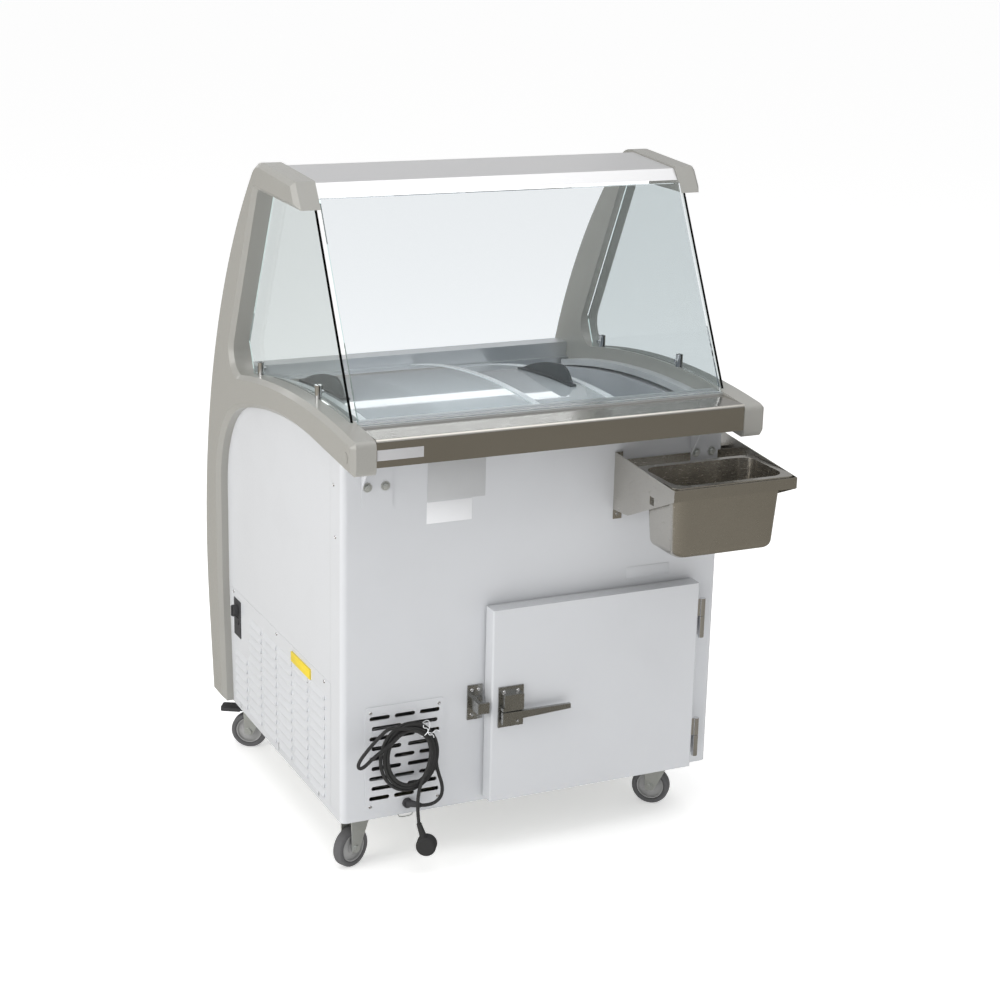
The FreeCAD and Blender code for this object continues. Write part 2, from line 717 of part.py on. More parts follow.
def cheek_ledge_left():
    """Curved step along the inside of a frame, level with the lids' tracks."""
    crest = drop(ARM_CREST, CHEEK_LEDGE_DROP)
    inset = 2 * TRACK_STEP + GAP
    return curved_sheet(-INNER_X, -OPENING_X, TRACK_BACK_Y + inset, REAR_RAIL_FRONT_Y - inset,
                        crest, CHEEK_LEDGE_THICK)


def cheek_ledges():
    """The left and right cheek steps."""
    left = cheek_ledge_left()
    return group([left, mirrored(left)])


# ---------------------------------------------------------- top of the cabinet
def front_ledge():
    """Stainless counter ledge in front of the glass: folded sheet, open below."""
    x = INNER_X - GAP
    block = box(-x, x, LEDGE_FRONT_Y, LEDGE_BACK_Y, LEDGE_BOTTOM, LEDGE_TOP)
    block = round_lines(block, X_AXIS, [(LEDGE_FRONT_Y, LEDGE_TOP)], LEDGE_EDGE_R)
    inside = box(-x - 1, x + 1, LEDGE_FRONT_Y + LEDGE_SHEET, LEDGE_BACK_Y + 1,
                 LEDGE_BOTTOM + LEDGE_SHEET, LEDGE_TOP - LEDGE_SHEET)
    inside = round_lines(inside, X_AXIS, [(LEDGE_FRONT_Y + LEDGE_SHEET, LEDGE_TOP - LEDGE_SHEET)],
                         LEDGE_EDGE_R - LEDGE_SHEET)
    below = box(-x - 1, x + 1, LEDGE_FRONT_Y + LEDGE_LIP, LEDGE_BACK_Y + 1,
                LEDGE_BOTTOM - 1, LEDGE_BOTTOM + LEDGE_SHEET + 1)
    return block.cut(inside).cut(below)


def ledge_brackets():
    """Bolted corner brackets that hold the ledge off the front."""
    under = LEDGE_TOP - LEDGE_SHEET
    step = TRACK_TOP - TRACK_FLANGE - GAP
    nose = box(INNER_X - GAP, OUTER_X, NOSE_Y, 1, NOSE_BOTTOM - 6, TRACK_TOP)
    plates = []
    for x0 in LEDGE_BRACKET_X:
        x1 = x0 + LEDGE_BRACKET_WIDTH
        upright = box(x0, x1, -2, 0, LEDGE_BRACKET_Z, step)
        flange = box(x0, x1, LEDGE_FRONT_Y + 12, LEDGE_BACK_Y - GAP, under - 2, under)
        outline = [(-2, LEDGE_BRACKET_Z + 35), (-2, step), (LEDGE_BACK_Y - GAP, step),
                   (LEDGE_BACK_Y - GAP, under - 2), (LEDGE_FRONT_Y + 30, under - 2)]
        web = prism_yz(outline[0], [(point,) for point in outline[1:]], x0, x0 + 2)
        plates.append(upright.fuse([flange, web]).cut(nose))
    return group(plates)


def inner_rail():
    """Aluminium front track: a flange over the ledge and two steps for the lids."""
    x = INNER_X - GAP
    upper = on_arc(drop(ARM_CREST, UPPER_LID_DROP), ARM_RADIUS, TRACK_BACK_Y) - LID_TRIM_THICK - GAP
    lower = on_arc(drop(ARM_CREST, LOWER_LID_DROP), ARM_RADIUS, TRACK_BACK_Y) - LID_TRIM_THICK - GAP
    base = on_arc(drop(ARM_CREST, BODY_TOP_DROP), ARM_RADIUS, TRACK_BACK_Y)
    corners = [(0.0, base), (0.0, TRACK_TOP - TRACK_FLANGE), (LEDGE_BACK_Y + GAP, TRACK_TOP - TRACK_FLANGE),
               (LEDGE_BACK_Y + GAP, TRACK_TOP), (TRACK_BACK_Y, TRACK_TOP), (TRACK_BACK_Y, upper),
               (TRACK_BACK_Y + TRACK_STEP, upper), (TRACK_BACK_Y + TRACK_STEP, lower),
               (TRACK_BACK_Y + 2 * TRACK_STEP, lower), (TRACK_BACK_Y + 2 * TRACK_STEP, base)]
    rail = prism_yz(corners[0], [(c,) for c in corners[1:]], -x, x)
    grooves = [box(-x - 1, x + 1, y, y + 2, TRACK_TOP - 2, TRACK_TOP + 1) for y in (-10.0, 2.0)]
    return rail.cut(grooves).cut(envelope())


def rear_rail():
    """Aluminium rear track, with two steps for the lids and a cap over the rear panel."""
    x = INNER_X - GAP
    front = REAR_RAIL_FRONT_Y
    upper = on_arc(drop(ARM_CREST, UPPER_LID_DROP), ARM_RADIUS, front) - LID_TRIM_THICK - GAP
    lower = on_arc(drop(ARM_CREST, LOWER_LID_DROP), ARM_RADIUS, front) - LID_TRIM_THICK - GAP
    base = on_arc(drop(ARM_CREST, BODY_TOP_DROP + 6), ARM_RADIUS, front)
    back = front + 44.0
    corners = [(back, base - 30), (back, REAR_RAIL_TOP), (front, REAR_RAIL_TOP), (front, upper),
               (front - TRACK_STEP, upper), (front - TRACK_STEP, lower),
               (front - 2 * TRACK_STEP, lower), (front - 2 * TRACK_STEP, base - 30)]
    rail = prism_yz(corners[0], [(c,) for c in corners[1:]], -x, x)
    return rail.cut(envelope())


# ---------------------------------------------------------------- sliding lids
def lid_span(upper):
    """Front and rear Y of a lid, and the crest of its curved top."""
    inset = 0.0 if upper else TRACK_STEP
    crest = drop(ARM_CREST, UPPER_LID_DROP if upper else LOWER_LID_DROP)
    return TRACK_BACK_Y + GAP + inset, REAR_RAIL_FRONT_Y - GAP - inset, crest


def lid_left_edge(upper):
    """X of a lid's left edge at rest."""
    if upper:
        return -OPENING_X + GAP
    return OPENING_X - GAP - LID_WIDTH - RIGHT_LID_OPEN


def lid_glass(upper):
    """Curved glass of a lid, held inside its trim."""
    x0 = lid_left_edge(upper)
    y0, y1, crest = lid_span(upper)
    inset = LID_TRIM - LID_GRIP
    return curved_sheet(x0 + inset, x0 + LID_WIDTH - inset, y0 + inset, y1 - inset,
                        drop(crest, LID_GLASS_SET), LID_GLASS)


def lid_trim(upper):
    """White plastic trim round a lid, with a groove for its glass."""
    x0 = lid_left_edge(upper)
    y0, y1, crest = lid_span(upper)
    x1 = x0 + LID_WIDTH
    ring = curved_sheet(x0, x1, y0, y1, crest, LID_TRIM_THICK)
    hole = curved_sheet(x0 + LID_TRIM, x1 - LID_TRIM, y0 + LID_TRIM, y1 - LID_TRIM,
                        drop(crest, -LID_TRIM_THICK), 3 * LID_TRIM_THICK)
    return ring.cut(hole).cut(lid_glass(upper))


def lid_handle(upper):
    """Fin handle on a narrow foot: a long slope up from the rear and a steep front."""
    x = HANDLE_X[0] if upper else HANDLE_X[1]
    glass_top = drop(lid_span(upper)[2], LID_GLASS_SET)
    front, back = HANDLE_ENDS
    foot = curved_sheet(x - HANDLE_FOOT / 2, x + HANDLE_FOOT / 2, front, back,
                        drop(glass_top, -HANDLE_FOOT_THICK), HANDLE_FOOT_THICK)

    def over(y, rise):
        return (y, on_arc(glass_top, ARM_RADIUS, y) + rise)

    start = over(back - HANDLE_END, HANDLE_FOOT_THICK / 2)
    end = over(front + HANDLE_END, HANDLE_FOOT_THICK / 2)
    path = [(over(*HANDLE_BACK), over(*HANDLE_CREST)), (over(*HANDLE_FRONT), end)]
    fin = prism_yz(start, path, x - HANDLE_THICK / 2, x + HANDLE_THICK / 2).cut(lid_glass(upper))
    return foot.fuse(fin)


# ----------------------------------------------------------------- glass canopy
def glass_slope():
    """Unit vector up the front glass in (y, z)."""
    dy = FRONT_GLASS_HEAD[0] - FRONT_GLASS_FOOT[0]
    dz = FRONT_GLASS_HEAD[1] - FRONT_GLASS_FOOT[1]
    size = math.hypot(dy, dz)
    return dy / size, dz / size


def behind_glass(point, distance):
    """A point moved back, square to the front glass."""
    uy, uz = glass_slope()
    return (point[0] + uz * distance, point[1] - uy * distance)


def front_glass():
    """Sloping front pane."""
    x = INNER_X - 1.5
    foot, head = FRONT_GLASS_FOOT, FRONT_GLASS_HEAD
    path = [(head,), (behind_glass(head, GLASS),), (behind_glass(foot, GLASS),)]
    pane = prism_yz(foot, path, -x, x)
    return pane.cut(box(-HALF, HALF, foot[0] - GLASS, foot[0] + 3 * GLASS, 0, TRACK_TOP + GAP))


def side_glass_left():
    """Side pane between the low arm, the rear leg, the top arm and the front pane."""
    x0 = -INNER_X - SIDE_GLASS_INSET - SIDE_GLASS
    crest = drop(ARM_CREST, -GAP)
    lean = [behind_glass(p, GLASS + GAP) for p in (FRONT_GLASS_FOOT, FRONT_GLASS_HEAD)]
    foot_y = lean[0][0] + 4.0
    foot = (foot_y, on_arc(crest, ARM_RADIUS, foot_y))
    head_z = TOP_TOE[1] - GAP - 0.5
    head_y = lean[0][0] + (lean[1][0] - lean[0][0]) * (head_z - lean[0][1]) / (lean[1][1] - lean[0][1])
    back_foot = (WINDOW_BACK[0] - WINDOW_CORNER_R, on_arc(crest, ARM_RADIUS, WINDOW_BACK[0] - WINDOW_CORNER_R))
    back_low = (WINDOW_BACK[0] - 16.0, WINDOW_BACK[1] + 4.0)
    back_top = (WINDOW_TOP[0] - 14.0, TOP_TOE[1] - GAP)
    middle_y = (foot[0] + back_foot[0]) / 2
    path = [((middle_y, on_arc(crest, ARM_RADIUS, middle_y)), back_foot), (back_low,), (back_top,),
            ((head_y, head_z),)]
    pane = prism_yz(foot, path, x0, x0 + SIDE_GLASS)
    return pane.cut(side_frame_left())


def side_glass():
    """Both side panes."""
    left = side_glass_left()
    return group([left, mirrored(left)])


def glass_clamps():
    """Chrome clamps on the arms, each in two cheeks that grip the side pane."""
    pieces = []
    frame = side_frame_left()
    x0 = -INNER_X - SIDE_GLASS_INSET - SIDE_GLASS
    for y in CLAMP_Y:
        z = on_arc(ARM_CREST, ARM_RADIUS, y)
        post = rod((x0 + SIDE_GLASS / 2, y, z - 4), Z_AXIS, 8.0, CLAMP_HEIGHT + 4).cut(frame)
        slot = box(x0, x0 + SIDE_GLASS, y - 10, y + 10, z - 5, z + CLAMP_HEIGHT + 5)
        screw = rod((x0 + SIDE_GLASS / 2 + 7, y, z + CLAMP_HEIGHT / 2), X_AXIS, 3.5, 5.0)
        post = post.cut(slot)
        pieces += [solid.fuse(screw) if solid.CenterOfMass.x > x0 + SIDE_GLASS / 2 else solid
                   for solid in post.Solids]
    return group(pieces + [mirrored(piece) for piece in pieces])


def top_shelf():
    """Folded aluminium shelf between the top arms, with a sloping front lip."""
    x = INNER_X - GAP
    slope = (SHELF_BACK[1] - SHELF_FRONT[1]) / (SHELF_BACK[0] - SHELF_FRONT[0])
    under_front = (SHELF_TOE[0] + 4.0, SHELF_TOE[1])
    under_back = (SHELF_BACK[0], SHELF_TOE[1] + 6.0)
    path = [(SHELF_BACK,), (under_back,), (under_front,), (SHELF_TOE,)]
    solid = prism_yz(SHELF_FRONT, path, -x, x)
    room = 16.0
    sheet = SHELF_SHEET
    inner = [(SHELF_FRONT[0] + 4.0, SHELF_FRONT[1] - sheet), (SHELF_BACK[0] - sheet, SHELF_BACK[1] - sheet * (1 + slope)),
             (SHELF_BACK[0] - sheet, under_back[1] + sheet), (under_front[0] + 4.0, SHELF_TOE[1] + sheet)]
    hollow = prism_yz(inner[0], [(p,) for p in inner[1:]], -x + sheet, x - sheet)
    opening = box(-x + room, x - room, LAMP_Y + LAMP_WIDTH + 12, SHELF_BACK[0] - room,
                  SHELF_TOE[1] - 10, SHELF_TOE[1] + 9)
    return solid.cut(hollow).cut(opening)


def led_lamp():
    """Slim lamp under the shelf's front."""
    x = INNER_X - LAMP_END_GAP
    slope = 6.0 / (SHELF_BACK[0] - SHELF_TOE[0] - 4.0)
    top = SHELF_TOE[1] + (LAMP_Y - LAMP_WIDTH / 2 - SHELF_TOE[0] - 4.0) * slope - 0.2
    lamp = box(-x, x, LAMP_Y - LAMP_WIDTH / 2, LAMP_Y + LAMP_WIDTH / 2, top - LAMP_HEIGHT, top)
    places = [(LAMP_Y + s * LAMP_WIDTH / 2, top - LAMP_HEIGHT) for s in (-1, 1)]
    return round_lines(lamp, X_AXIS, places, 4.0)


# ------------------------------------------------------------- storage door
def store_door():
    """Insulated slab door, proud of the front."""
    slab = box(DOOR_X[0], DOOR_X[1], DOOR_FRONT_Y, -DOOR_GASKET, DOOR_Z[0], DOOR_Z[1])
    places = [(x, DOOR_FRONT_Y) for x in DOOR_X]
    return round_lines(slab, Z_AXIS, places, DOOR_EDGE_R)


def door_gasket():
    """Rubber seal on the back of the door."""
    outer = box(DOOR_X[0] + 10, DOOR_X[1] - 10, -DOOR_GASKET, -0.3, DOOR_Z[0] + 10, DOOR_Z[1] - 10)
    inner = box(DOOR_X[0] + 24, DOOR_X[1] - 24, -DOOR_GASKET - 1, 1, DOOR_Z[0] + 24, DOOR_Z[1] - 24)
    return outer.cut(inner)


def hinge_post(z):
    """Lower half of a hinge at one height: its block on the front, with the pin."""
    barrel = rod((HINGE_X, HINGE_Y, z), Z_AXIS, HINGE_R, HINGE_SPLIT)
    x0, x1 = HINGE_X + HINGE_PLATE_SET, HINGE_X + HINGE_PLATE_SET + 2 * HINGE_LEAF
    block = box(x0, x1, HINGE_Y, 0, z, z + HINGE_SPLIT)
    foot = box(x0, HINGE_X + HINGE_FOOT, -HINGE_LEAF - GAP, 0, z, z + HINGE_SPLIT)
    pin = rod((HINGE_X, HINGE_Y, z), Z_AXIS, HINGE_PIN_R, HINGE_HEIGHT - 2 * HINGE_CAP)
    return barrel.fuse([block, foot, pin])


def hinge_leaf(z):
    """Upper half of a hinge at one height: the door's leaf, lifted on to the pin."""
    low = z + HINGE_SPLIT + 2 * GAP
    barrel = rod((HINGE_X, HINGE_Y, low), Z_AXIS, HINGE_R, z + HINGE_HEIGHT - low)
    bore = rod((HINGE_X, HINGE_Y, low - 1), Z_AXIS, HINGE_PIN_R + HINGE_CLEAR,
               z + HINGE_HEIGHT - HINGE_CAP - low + 1)
    leaf = box(DOOR_X[1], HINGE_X, HINGE_Y - HINGE_LEAF, HINGE_Y + HINGE_LEAF, low, z + HINGE_HEIGHT)
    return leaf.fuse(barrel).cut(bore)


def latch_body():
    """Latch case screwed to the door's face, with the lever's pivot at its left."""
    y = DOOR_FRONT_Y
    back = y - LATCH_CASE_DEPTH
    plate = box(LATCH_X[0], LATCH_X[1], y - LATCH_PLATE, y, LATCH_Z[0], LATCH_Z[1])
    case = box(LATCH_X[0] + LATCH_CASE_INSET, LATCH_X[1] - LATCH_CASE_INSET, back, y,
               LATCH_LEVER_Z + LATCH_LEVER_HALF + 1, LATCH_Z[1] - 2 * LATCH_CASE_INSET)
    lugs = [box(LATCH_PIVOT_X - LATCH_LUG, LATCH_PIVOT_X + LATCH_LUG, back, y, z, z + LATCH_LUG)
            for z in (LATCH_LEVER_Z - LATCH_LEVER_HALF - 1 - LATCH_LUG, LATCH_LEVER_Z + LATCH_LEVER_HALF + 1)]
    pin = rod((LATCH_PIVOT_X, y - LATCH_PIN_SET, LATCH_LEVER_Z - 2 * LATCH_LEVER_HALF), Z_AXIS,
              LATCH_PIN_R, 4 * LATCH_LEVER_HALF)
    return plate.fuse([case, pin] + lugs)


def latch_lever():
    """Tapered pull lever, pivoted in the latch case, rising a little to its tip."""
    y = DOOR_FRONT_Y
    z = LATCH_LEVER_Z
    hub = rod((LATCH_PIVOT_X, y - LATCH_PIN_SET, z - LATCH_LEVER_HALF), Z_AXIS, LATCH_HUB_R, 2 * LATCH_LEVER_HALF)
    x0 = LATCH_PIVOT_X - LATCH_HUB_R
    x1 = LATCH_PIVOT_X + LATCH_LEVER_LENGTH
    corners = [(x0, z - LATCH_LEVER_HALF), (x0, z + LATCH_LEVER_HALF), (x1, z + LATCH_TIP[1]), (x1, z + LATCH_TIP[0])]
    bar = slab_xz(corners, y - LATCH_BAR[1], y - LATCH_BAR[0])
    bore = rod((LATCH_PIVOT_X, y - LATCH_PIN_SET, z - 2 * LATCH_LEVER_HALF), Z_AXIS,
               LATCH_PIN_R + HINGE_CLEAR, 4 * LATCH_LEVER_HALF)
    return hub.fuse(bar).cut(bore)


def latch_strike():
    """Strike on the front, beside the door, with a hooked keeper."""
    plate = box(STRIKE_X[0], STRIKE_X[1], -LATCH_PLATE, 0, STRIKE_Z[0], STRIKE_Z[1])
    middle = (STRIKE_Z[0] + STRIKE_Z[1]) / 2
    low, high = middle - KEEPER_HALF, middle + KEEPER_HALF
    keeper = box(STRIKE_X[0] + KEEPER_INSET, STRIKE_X[1] - 2, DOOR_FRONT_Y - 4, -LATCH_PLATE, low, high)
    notch = box(STRIKE_X[0] + KEEPER_INSET + KEEPER_STEM, STRIKE_X[1] + 1, DOOR_FRONT_Y + 2, -3 * LATCH_PLATE,
                low - 1, high + 1)
    return plate.fuse(keeper).cut(notch)


# ------------------------------------------------------------ bracket and pan
def bracket_left_x():
    """Outer X of the bracket's left arm."""
    return OUTER_X - PAN_RIM[0] - 2 * (PAN_CLEAR + BRACKET_SHEET)


def pan_bracket():
    """Folded stainless bracket that carries the pan in front of the cabinet."""
    x0 = bracket_left_x()
    x1 = OUTER_X
    t = BRACKET_SHEET
    front = -FRONT_REACH
    strip_top = PAN_TOP - PAN_RIM_THICK
    strip_low = strip_top - BRACKET_STRIP
    outline = [(0.0, BRACKET_LEFT_TOP), (front, strip_top), (front, strip_low), (-60.0, BRACKET_LEFT_BOTTOM + 4),
               (0.0, BRACKET_LEFT_BOTTOM)]
    left = prism_yz(outline[0], [(p,) for p in outline[1:]], x0, x0 + t)
    window = box(x0 - 1, x0 + t + 1, -160, -144, 746, 762)
    right_outline = [(BRACKET_TAIL, BRACKET_LEFT_TOP + 8)] + outline[1:4] + [(BRACKET_TAIL, BRACKET_LEFT_BOTTOM)]
    right = prism_yz(right_outline[0], [(p,) for p in right_outline[1:]], x1 - t, x1)
    strip = box(x0, x1, front, front + t, strip_low, strip_top)
    back = box(x0, x1, -t, 0, BRACKET_LEFT_BOTTOM + 40, strip_top - 2)
    tail = box(HALF, x1, BRACKET_TAIL - 20, BRACKET_TAIL, BRACKET_LEFT_BOTTOM + 30, BRACKET_LEFT_TOP - 20)
    seats = [box(x0 + t, x1 - t, front + t, front + t + 8, strip_low, strip_low + t),
             box(x0 + t, x1 - t, -t - 8, -t, strip_low, strip_low + t)]
    foot = box(x0, x0 + 19, -t, 0, BRACKET_LEFT_BOTTOM - 20, BRACKET_LEFT_BOTTOM + 42)
    top_tab = box(x0, x0 + 17, -t, 0, BRACKET_LEFT_TOP - 30, BRACKET_LEFT_TOP)
    return left.cut(window).fuse([right, strip, back, tail, foot, top_tab] + seats).cut(ledge_brackets())


def pan_block(shrink, top, bottom):
    """The pan's tapered body, narrower toward its bottom."""
    x1 = OUTER_X - BRACKET_SHEET - PAN_CLEAR - PAN_RIM_WIDTH - shrink
    x0 = x1 - PAN_RIM[0] + 2 * (PAN_RIM_WIDTH + shrink)
    y0 = PAN_FRONT_Y + PAN_RIM_WIDTH + shrink
    y1 = PAN_FRONT_Y + PAN_RIM[1] - PAN_RIM_WIDTH - shrink
    sections = []
    for z, inset in ((bottom, PAN_TAPER), (top, 0.0)):
        base = box(x0 + inset, x1 - inset, y0 + inset, y1 - inset, z, z + 1)
        places = [(x, y) for x in (x0 + inset, x1 - inset) for y in (y0 + inset, y1 - inset)]
        base = round_lines(base, Z_AXIS, places, PAN_CORNER_R - shrink - inset / 2)
        low = min(base.Faces, key=lambda face: face.CenterOfMass.z)
        sections.append(low.OuterWire)
    body = Part.makeLoft(sections, True, True)
    floor = [edge for edge in body.Edges if abs(edge.BoundBox.ZMax - bottom) < 1e-3]
    return body.makeFillet(PAN_BOTTOM_R - shrink, floor)


def gn_pan():
    """Quarter-size gastronorm pan with a flat rim."""
    x1 = OUTER_X - BRACKET_SHEET - PAN_CLEAR
    x0 = x1 - PAN_RIM[0]
    rim = box(x0, x1, PAN_FRONT_Y, PAN_FRONT_Y + PAN_RIM[1], PAN_TOP - PAN_RIM_THICK, PAN_TOP)
    places = [(x, y) for x in (x0, x1) for y in (PAN_FRONT_Y, PAN_FRONT_Y + PAN_RIM[1])]
    rim = round_lines(rim, Z_AXIS, places, PAN_RIM_CORNER_R)
    bottom = PAN_TOP - PAN_DEPTH
    outside = pan_block(0.0, PAN_TOP, bottom)
    inside = pan_block(PAN_SHEET, PAN_TOP + 1, bottom + PAN_SHEET)
    return rim.fuse(outside).cut(inside)


# --------------------------------------------------------- machine compartment
def compressor():
    """Sealed compressor with its feet and terminal box."""
    x, y = COMPRESSOR_PLACE
    z = BODY_BOTTOM + COMPRESSOR_RISE
    top = z + COMPRESSOR_HEIGHT
    can = rod((x, y, z), Z_AXIS, COMPRESSOR_R, COMPRESSOR_HEIGHT)
    can = can.makeFillet(COMPRESSOR_ROUND[1], [e for e in can.Edges if abs(e.CenterOfMass.z - top) < 1])
    can = can.makeFillet(COMPRESSOR_ROUND[0], [e for e in can.Edges if abs(e.CenterOfMass.z - z) < 1])
    half_x, half_y = COMPRESSOR_PLATE
    plate = box(x - half_x, x + half_x, y - half_y, y + half_y, z - FOOT_HEIGHT + 5, z + 2)
    feet = [rod((x + sx * (half_x - FOOT_INSET), y + sy * (half_y - FOOT_INSET), BODY_BOTTOM + 2), Z_AXIS,
                FOOT_R, FOOT_HEIGHT) for sx in (-1, 1) for sy in (-1, 1)]
    terminal = box(x + COMPRESSOR_R - 12, x + COMPRESSOR_R + 16, y - 28, y + 28, z + 30, z + 80)
    return can.fuse([plate, terminal] + feet)


def condenser():
    """Finned condenser behind the front vent: end plates, fins and tube ends."""
    (x0, x1), (y0, y1), (z0, z1) = CONDENSER_X, CONDENSER_Y, CONDENSER_Z
    plates = [box(x, x + FIN_END, y0, y1, z0, z1) for x in (x0, x1 - FIN_END)]
    fins = [box(x0 + FIN_END, x1 - FIN_END, y0 + FIN_INSET, y1 - FIN_INSET, z0 + row * FIN_PITCH,
                z0 + row * FIN_PITCH + FIN) for row in range(1, FINS)]
    tubes = [rod((x0 - PIPE_R, y, z0 + row * TUBE_PITCH), X_AXIS, PIPE_R, x1 - x0 + 2 * PIPE_R)
             for y in (y0 + TUBE_INSET, y1 - TUBE_INSET) for row in range(1, TUBE_ROWS)]
    return plates[0].fuse([plates[1]] + fins + tubes)


def fan_motor():
    """Fan motor on its bracket behind the condenser."""
    x, z = FAN_CENTRE
    low = BODY_BOTTOM + 2
    motor = rod((x, FAN_MOTOR_Y, z), Y_AXIS, FAN_MOTOR_R, FAN_MOTOR_LENGTH)
    shaft = rod((x, FAN_Y + 8, z), Y_AXIS, AXLE_R, FAN_MOTOR_Y - FAN_Y - 8)
    middle = FAN_MOTOR_Y + FAN_MOTOR_LENGTH / 2
    post = box(x - 12, x + 12, middle - 13, middle + 13, low, z - FAN_MOTOR_R + 6)
    foot = box(x - 40, x + 40, middle - 25, middle + 25, low, low + 3)
    return motor.fuse([shaft, post, foot])


def fan_blade():
    """Fan rotor with its blades."""
    x, z = FAN_CENTRE
    hub = rod((x, FAN_Y, z), Y_AXIS, FAN_HUB_R, FAN_HUB_LENGTH)
    middle = V(x, FAN_Y + FAN_HUB_LENGTH / 2 - 1, z)
    blades = []
    for turn in range(FAN_BLADES):
        blade = box(x - FAN_CHORD / 2, x + FAN_CHORD / 2, middle.y - 1, middle.y + 1.5, z + FAN_HUB_R / 2, z + FAN_R)
        blade.rotate(middle, Z_AXIS, FAN_PITCH)
        blade.rotate(middle, Y_AXIS, turn * 360.0 / FAN_BLADES)
        blades.append(blade)
    bore = rod((x, FAN_Y - 1, z), Y_AXIS, AXLE_R + AXLE_CLEAR, 2 * FAN_HUB_LENGTH)
    return hub.fuse(blades).cut(bore)


# ----------------------------------------------------------------- controls
def switch_plate():
    """Black recessed plate for the thermostat and the switches."""
    x = -HALF
    plate = box(x - 1.5, x, SWITCH_Y[0], SWITCH_Y[1], SWITCH_Z[0], SWITCH_Z[1])
    body = box(x, x + 26, SWITCH_Y[0] + 4, SWITCH_Y[1] - 4, SWITCH_Z[0] + 4, SWITCH_Z[1] - 4)
    y = (SWITCH_Y[0] + SWITCH_Y[1]) / 2
    pocket = box(x - 2, x + 14, y - 11, y + 11, SWITCH_Z[0] + 28, SWITCH_Z[0] + 44)
    bore = rod((x - 3, y, SWITCH_Z[1] - 24), X_AXIS, 3.0 + AXLE_CLEAR, 12)
    return plate.fuse(body).cut([pocket, bore])


def thermostat_knob():
    """Thermostat dial with its spindle."""
    x = -HALF
    y = (SWITCH_Y[0] + SWITCH_Y[1]) / 2
    z = SWITCH_Z[1] - 24
    dial = rod((x - 12, y, z), X_AXIS, 13.0, 10)
    grip = box(x - 15, x - 12, y - 3, y + 3, z - 11, z + 11)
    return dial.fuse([grip, rod((x - 3, y, z), X_AXIS, 3.0, 11)])


def rocker_switch():
    """Rocker of the lamp switch, tilted in its pocket."""
    x = -HALF
    y = (SWITCH_Y[0] + SWITCH_Y[1]) / 2
    z = SWITCH_Z[0] + 36
    rocker = box(x - 2.5, x + 7, y - 10, y + 10, z - 6.2, z + 6.2)
    rocker.rotate(V(x + 5, y, z), Y_AXIS, 6)
    return rocker


# ------------------------------------------------------------------- casters
def caster_place(name):
    """Swivel axis (x, y) of a caster and its trailing direction."""
    side, y, heading, brake = CASTERS[name]
    turn = math.radians(heading)
    return side * CASTER_X, y, math.cos(turn), math.sin(turn)


def turned(shape, name):
    """A caster piece modelled at the origin trailing along +X, put in its place."""
    x, y, cos, sin = caster_place(name)
    shape.rotate(V(0, 0, 0), Z_AXIS, math.degrees(math.atan2(sin, cos)))
    shape.translate(V(x, y, 0))
    return shape


def caster_plates():
    """Fixed top plates and swivel races of the four casters."""
    pieces = []
    for name in CASTERS:
        x, y = caster_place(name)[:2]
        s = CASTER_PLATE_SIZE / 2
        plate = box(x - s, x + s, y - s, y + s, BODY_BOTTOM - CASTER_PLATE, BODY_BOTTOM)
        race = rod((x, y, BODY_BOTTOM - CASTER_PLATE - 9), Z_AXIS, 22.0, 9)
        pin = rod((x, y, BODY_BOTTOM - CASTER_PLATE - 20), Z_AXIS, 5.0, 12)
        pieces.append(plate.fuse([race, pin]))
    return group(pieces)


def caster_fork(name):
    """Pressed fork with its axle bolt."""
    crown_z = BODY_BOTTOM - CASTER_PLATE - 10
    inner = WHEEL_WIDTH / 2 + FORK_GAP
    outer = inner + FORK_SHEET
    crown = rod((0, 0, crown_z - 3), Z_AXIS, 20.0, 3)
    bridge = box(-4, CASTER_OFFSET + 4, -outer, outer, crown_z - 3, crown_z)
    cheeks = []
    for side in (-1, 1):
        y0 = side * inner if side > 0 else -outer
        corners = [(-14, crown_z), (CASTER_OFFSET + 12, crown_z), (CASTER_OFFSET + 9, WHEEL_R - 8),
                   (CASTER_OFFSET - 9, WHEEL_R - 8)]
        cheeks.append(slab_xz(corners, y0, y0 + FORK_SHEET))
    axle = rod((CASTER_OFFSET, -outer - 4, WHEEL_R), Y_AXIS, AXLE_R, 2 * outer + 8)
    heads = [rod((CASTER_OFFSET, y, WHEEL_R), Y_AXIS, 7.0, 4) for y in (-outer - 4, outer)]
    hole = rod((0, 0, crown_z - 4), Z_AXIS, 5.0 + AXLE_CLEAR, 6)
    if CASTERS[name][3]:
        heads.append(rod((BRAKE_PIVOT[0], -outer, BRAKE_PIVOT[1]), Y_AXIS, BRAKE_PIN_R, 2 * outer))
    return turned(crown.fuse([bridge, axle] + cheeks + heads).cut(hole), name)


def caster_wheel(name):
    """Wheel with its tyre, bored for the axle."""
    half = WHEEL_WIDTH / 2
    tyre = rod((CASTER_OFFSET, -half, WHEEL_R), Y_AXIS, WHEEL_R, WHEEL_WIDTH)
    tyre = tyre.makeFillet(5.0, [e for e in tyre.Edges if isinstance(e.Curve, Part.Circle)])
    dish = [rod((CASTER_OFFSET, y, WHEEL_R), Y_AXIS, WHEEL_R - 12, 5) for y in (-half - 1, half - 4)]
    hub = rod((CASTER_OFFSET, -half - 1, WHEEL_R), Y_AXIS, 9.0, WHEEL_WIDTH + 2)
    bore = rod((CASTER_OFFSET, -half - 2, WHEEL_R), Y_AXIS, AXLE_R + AXLE_CLEAR, WHEEL_WIDTH + 4)
    return turned(tyre.cut(dish).fuse(hub).cut(bore), name)


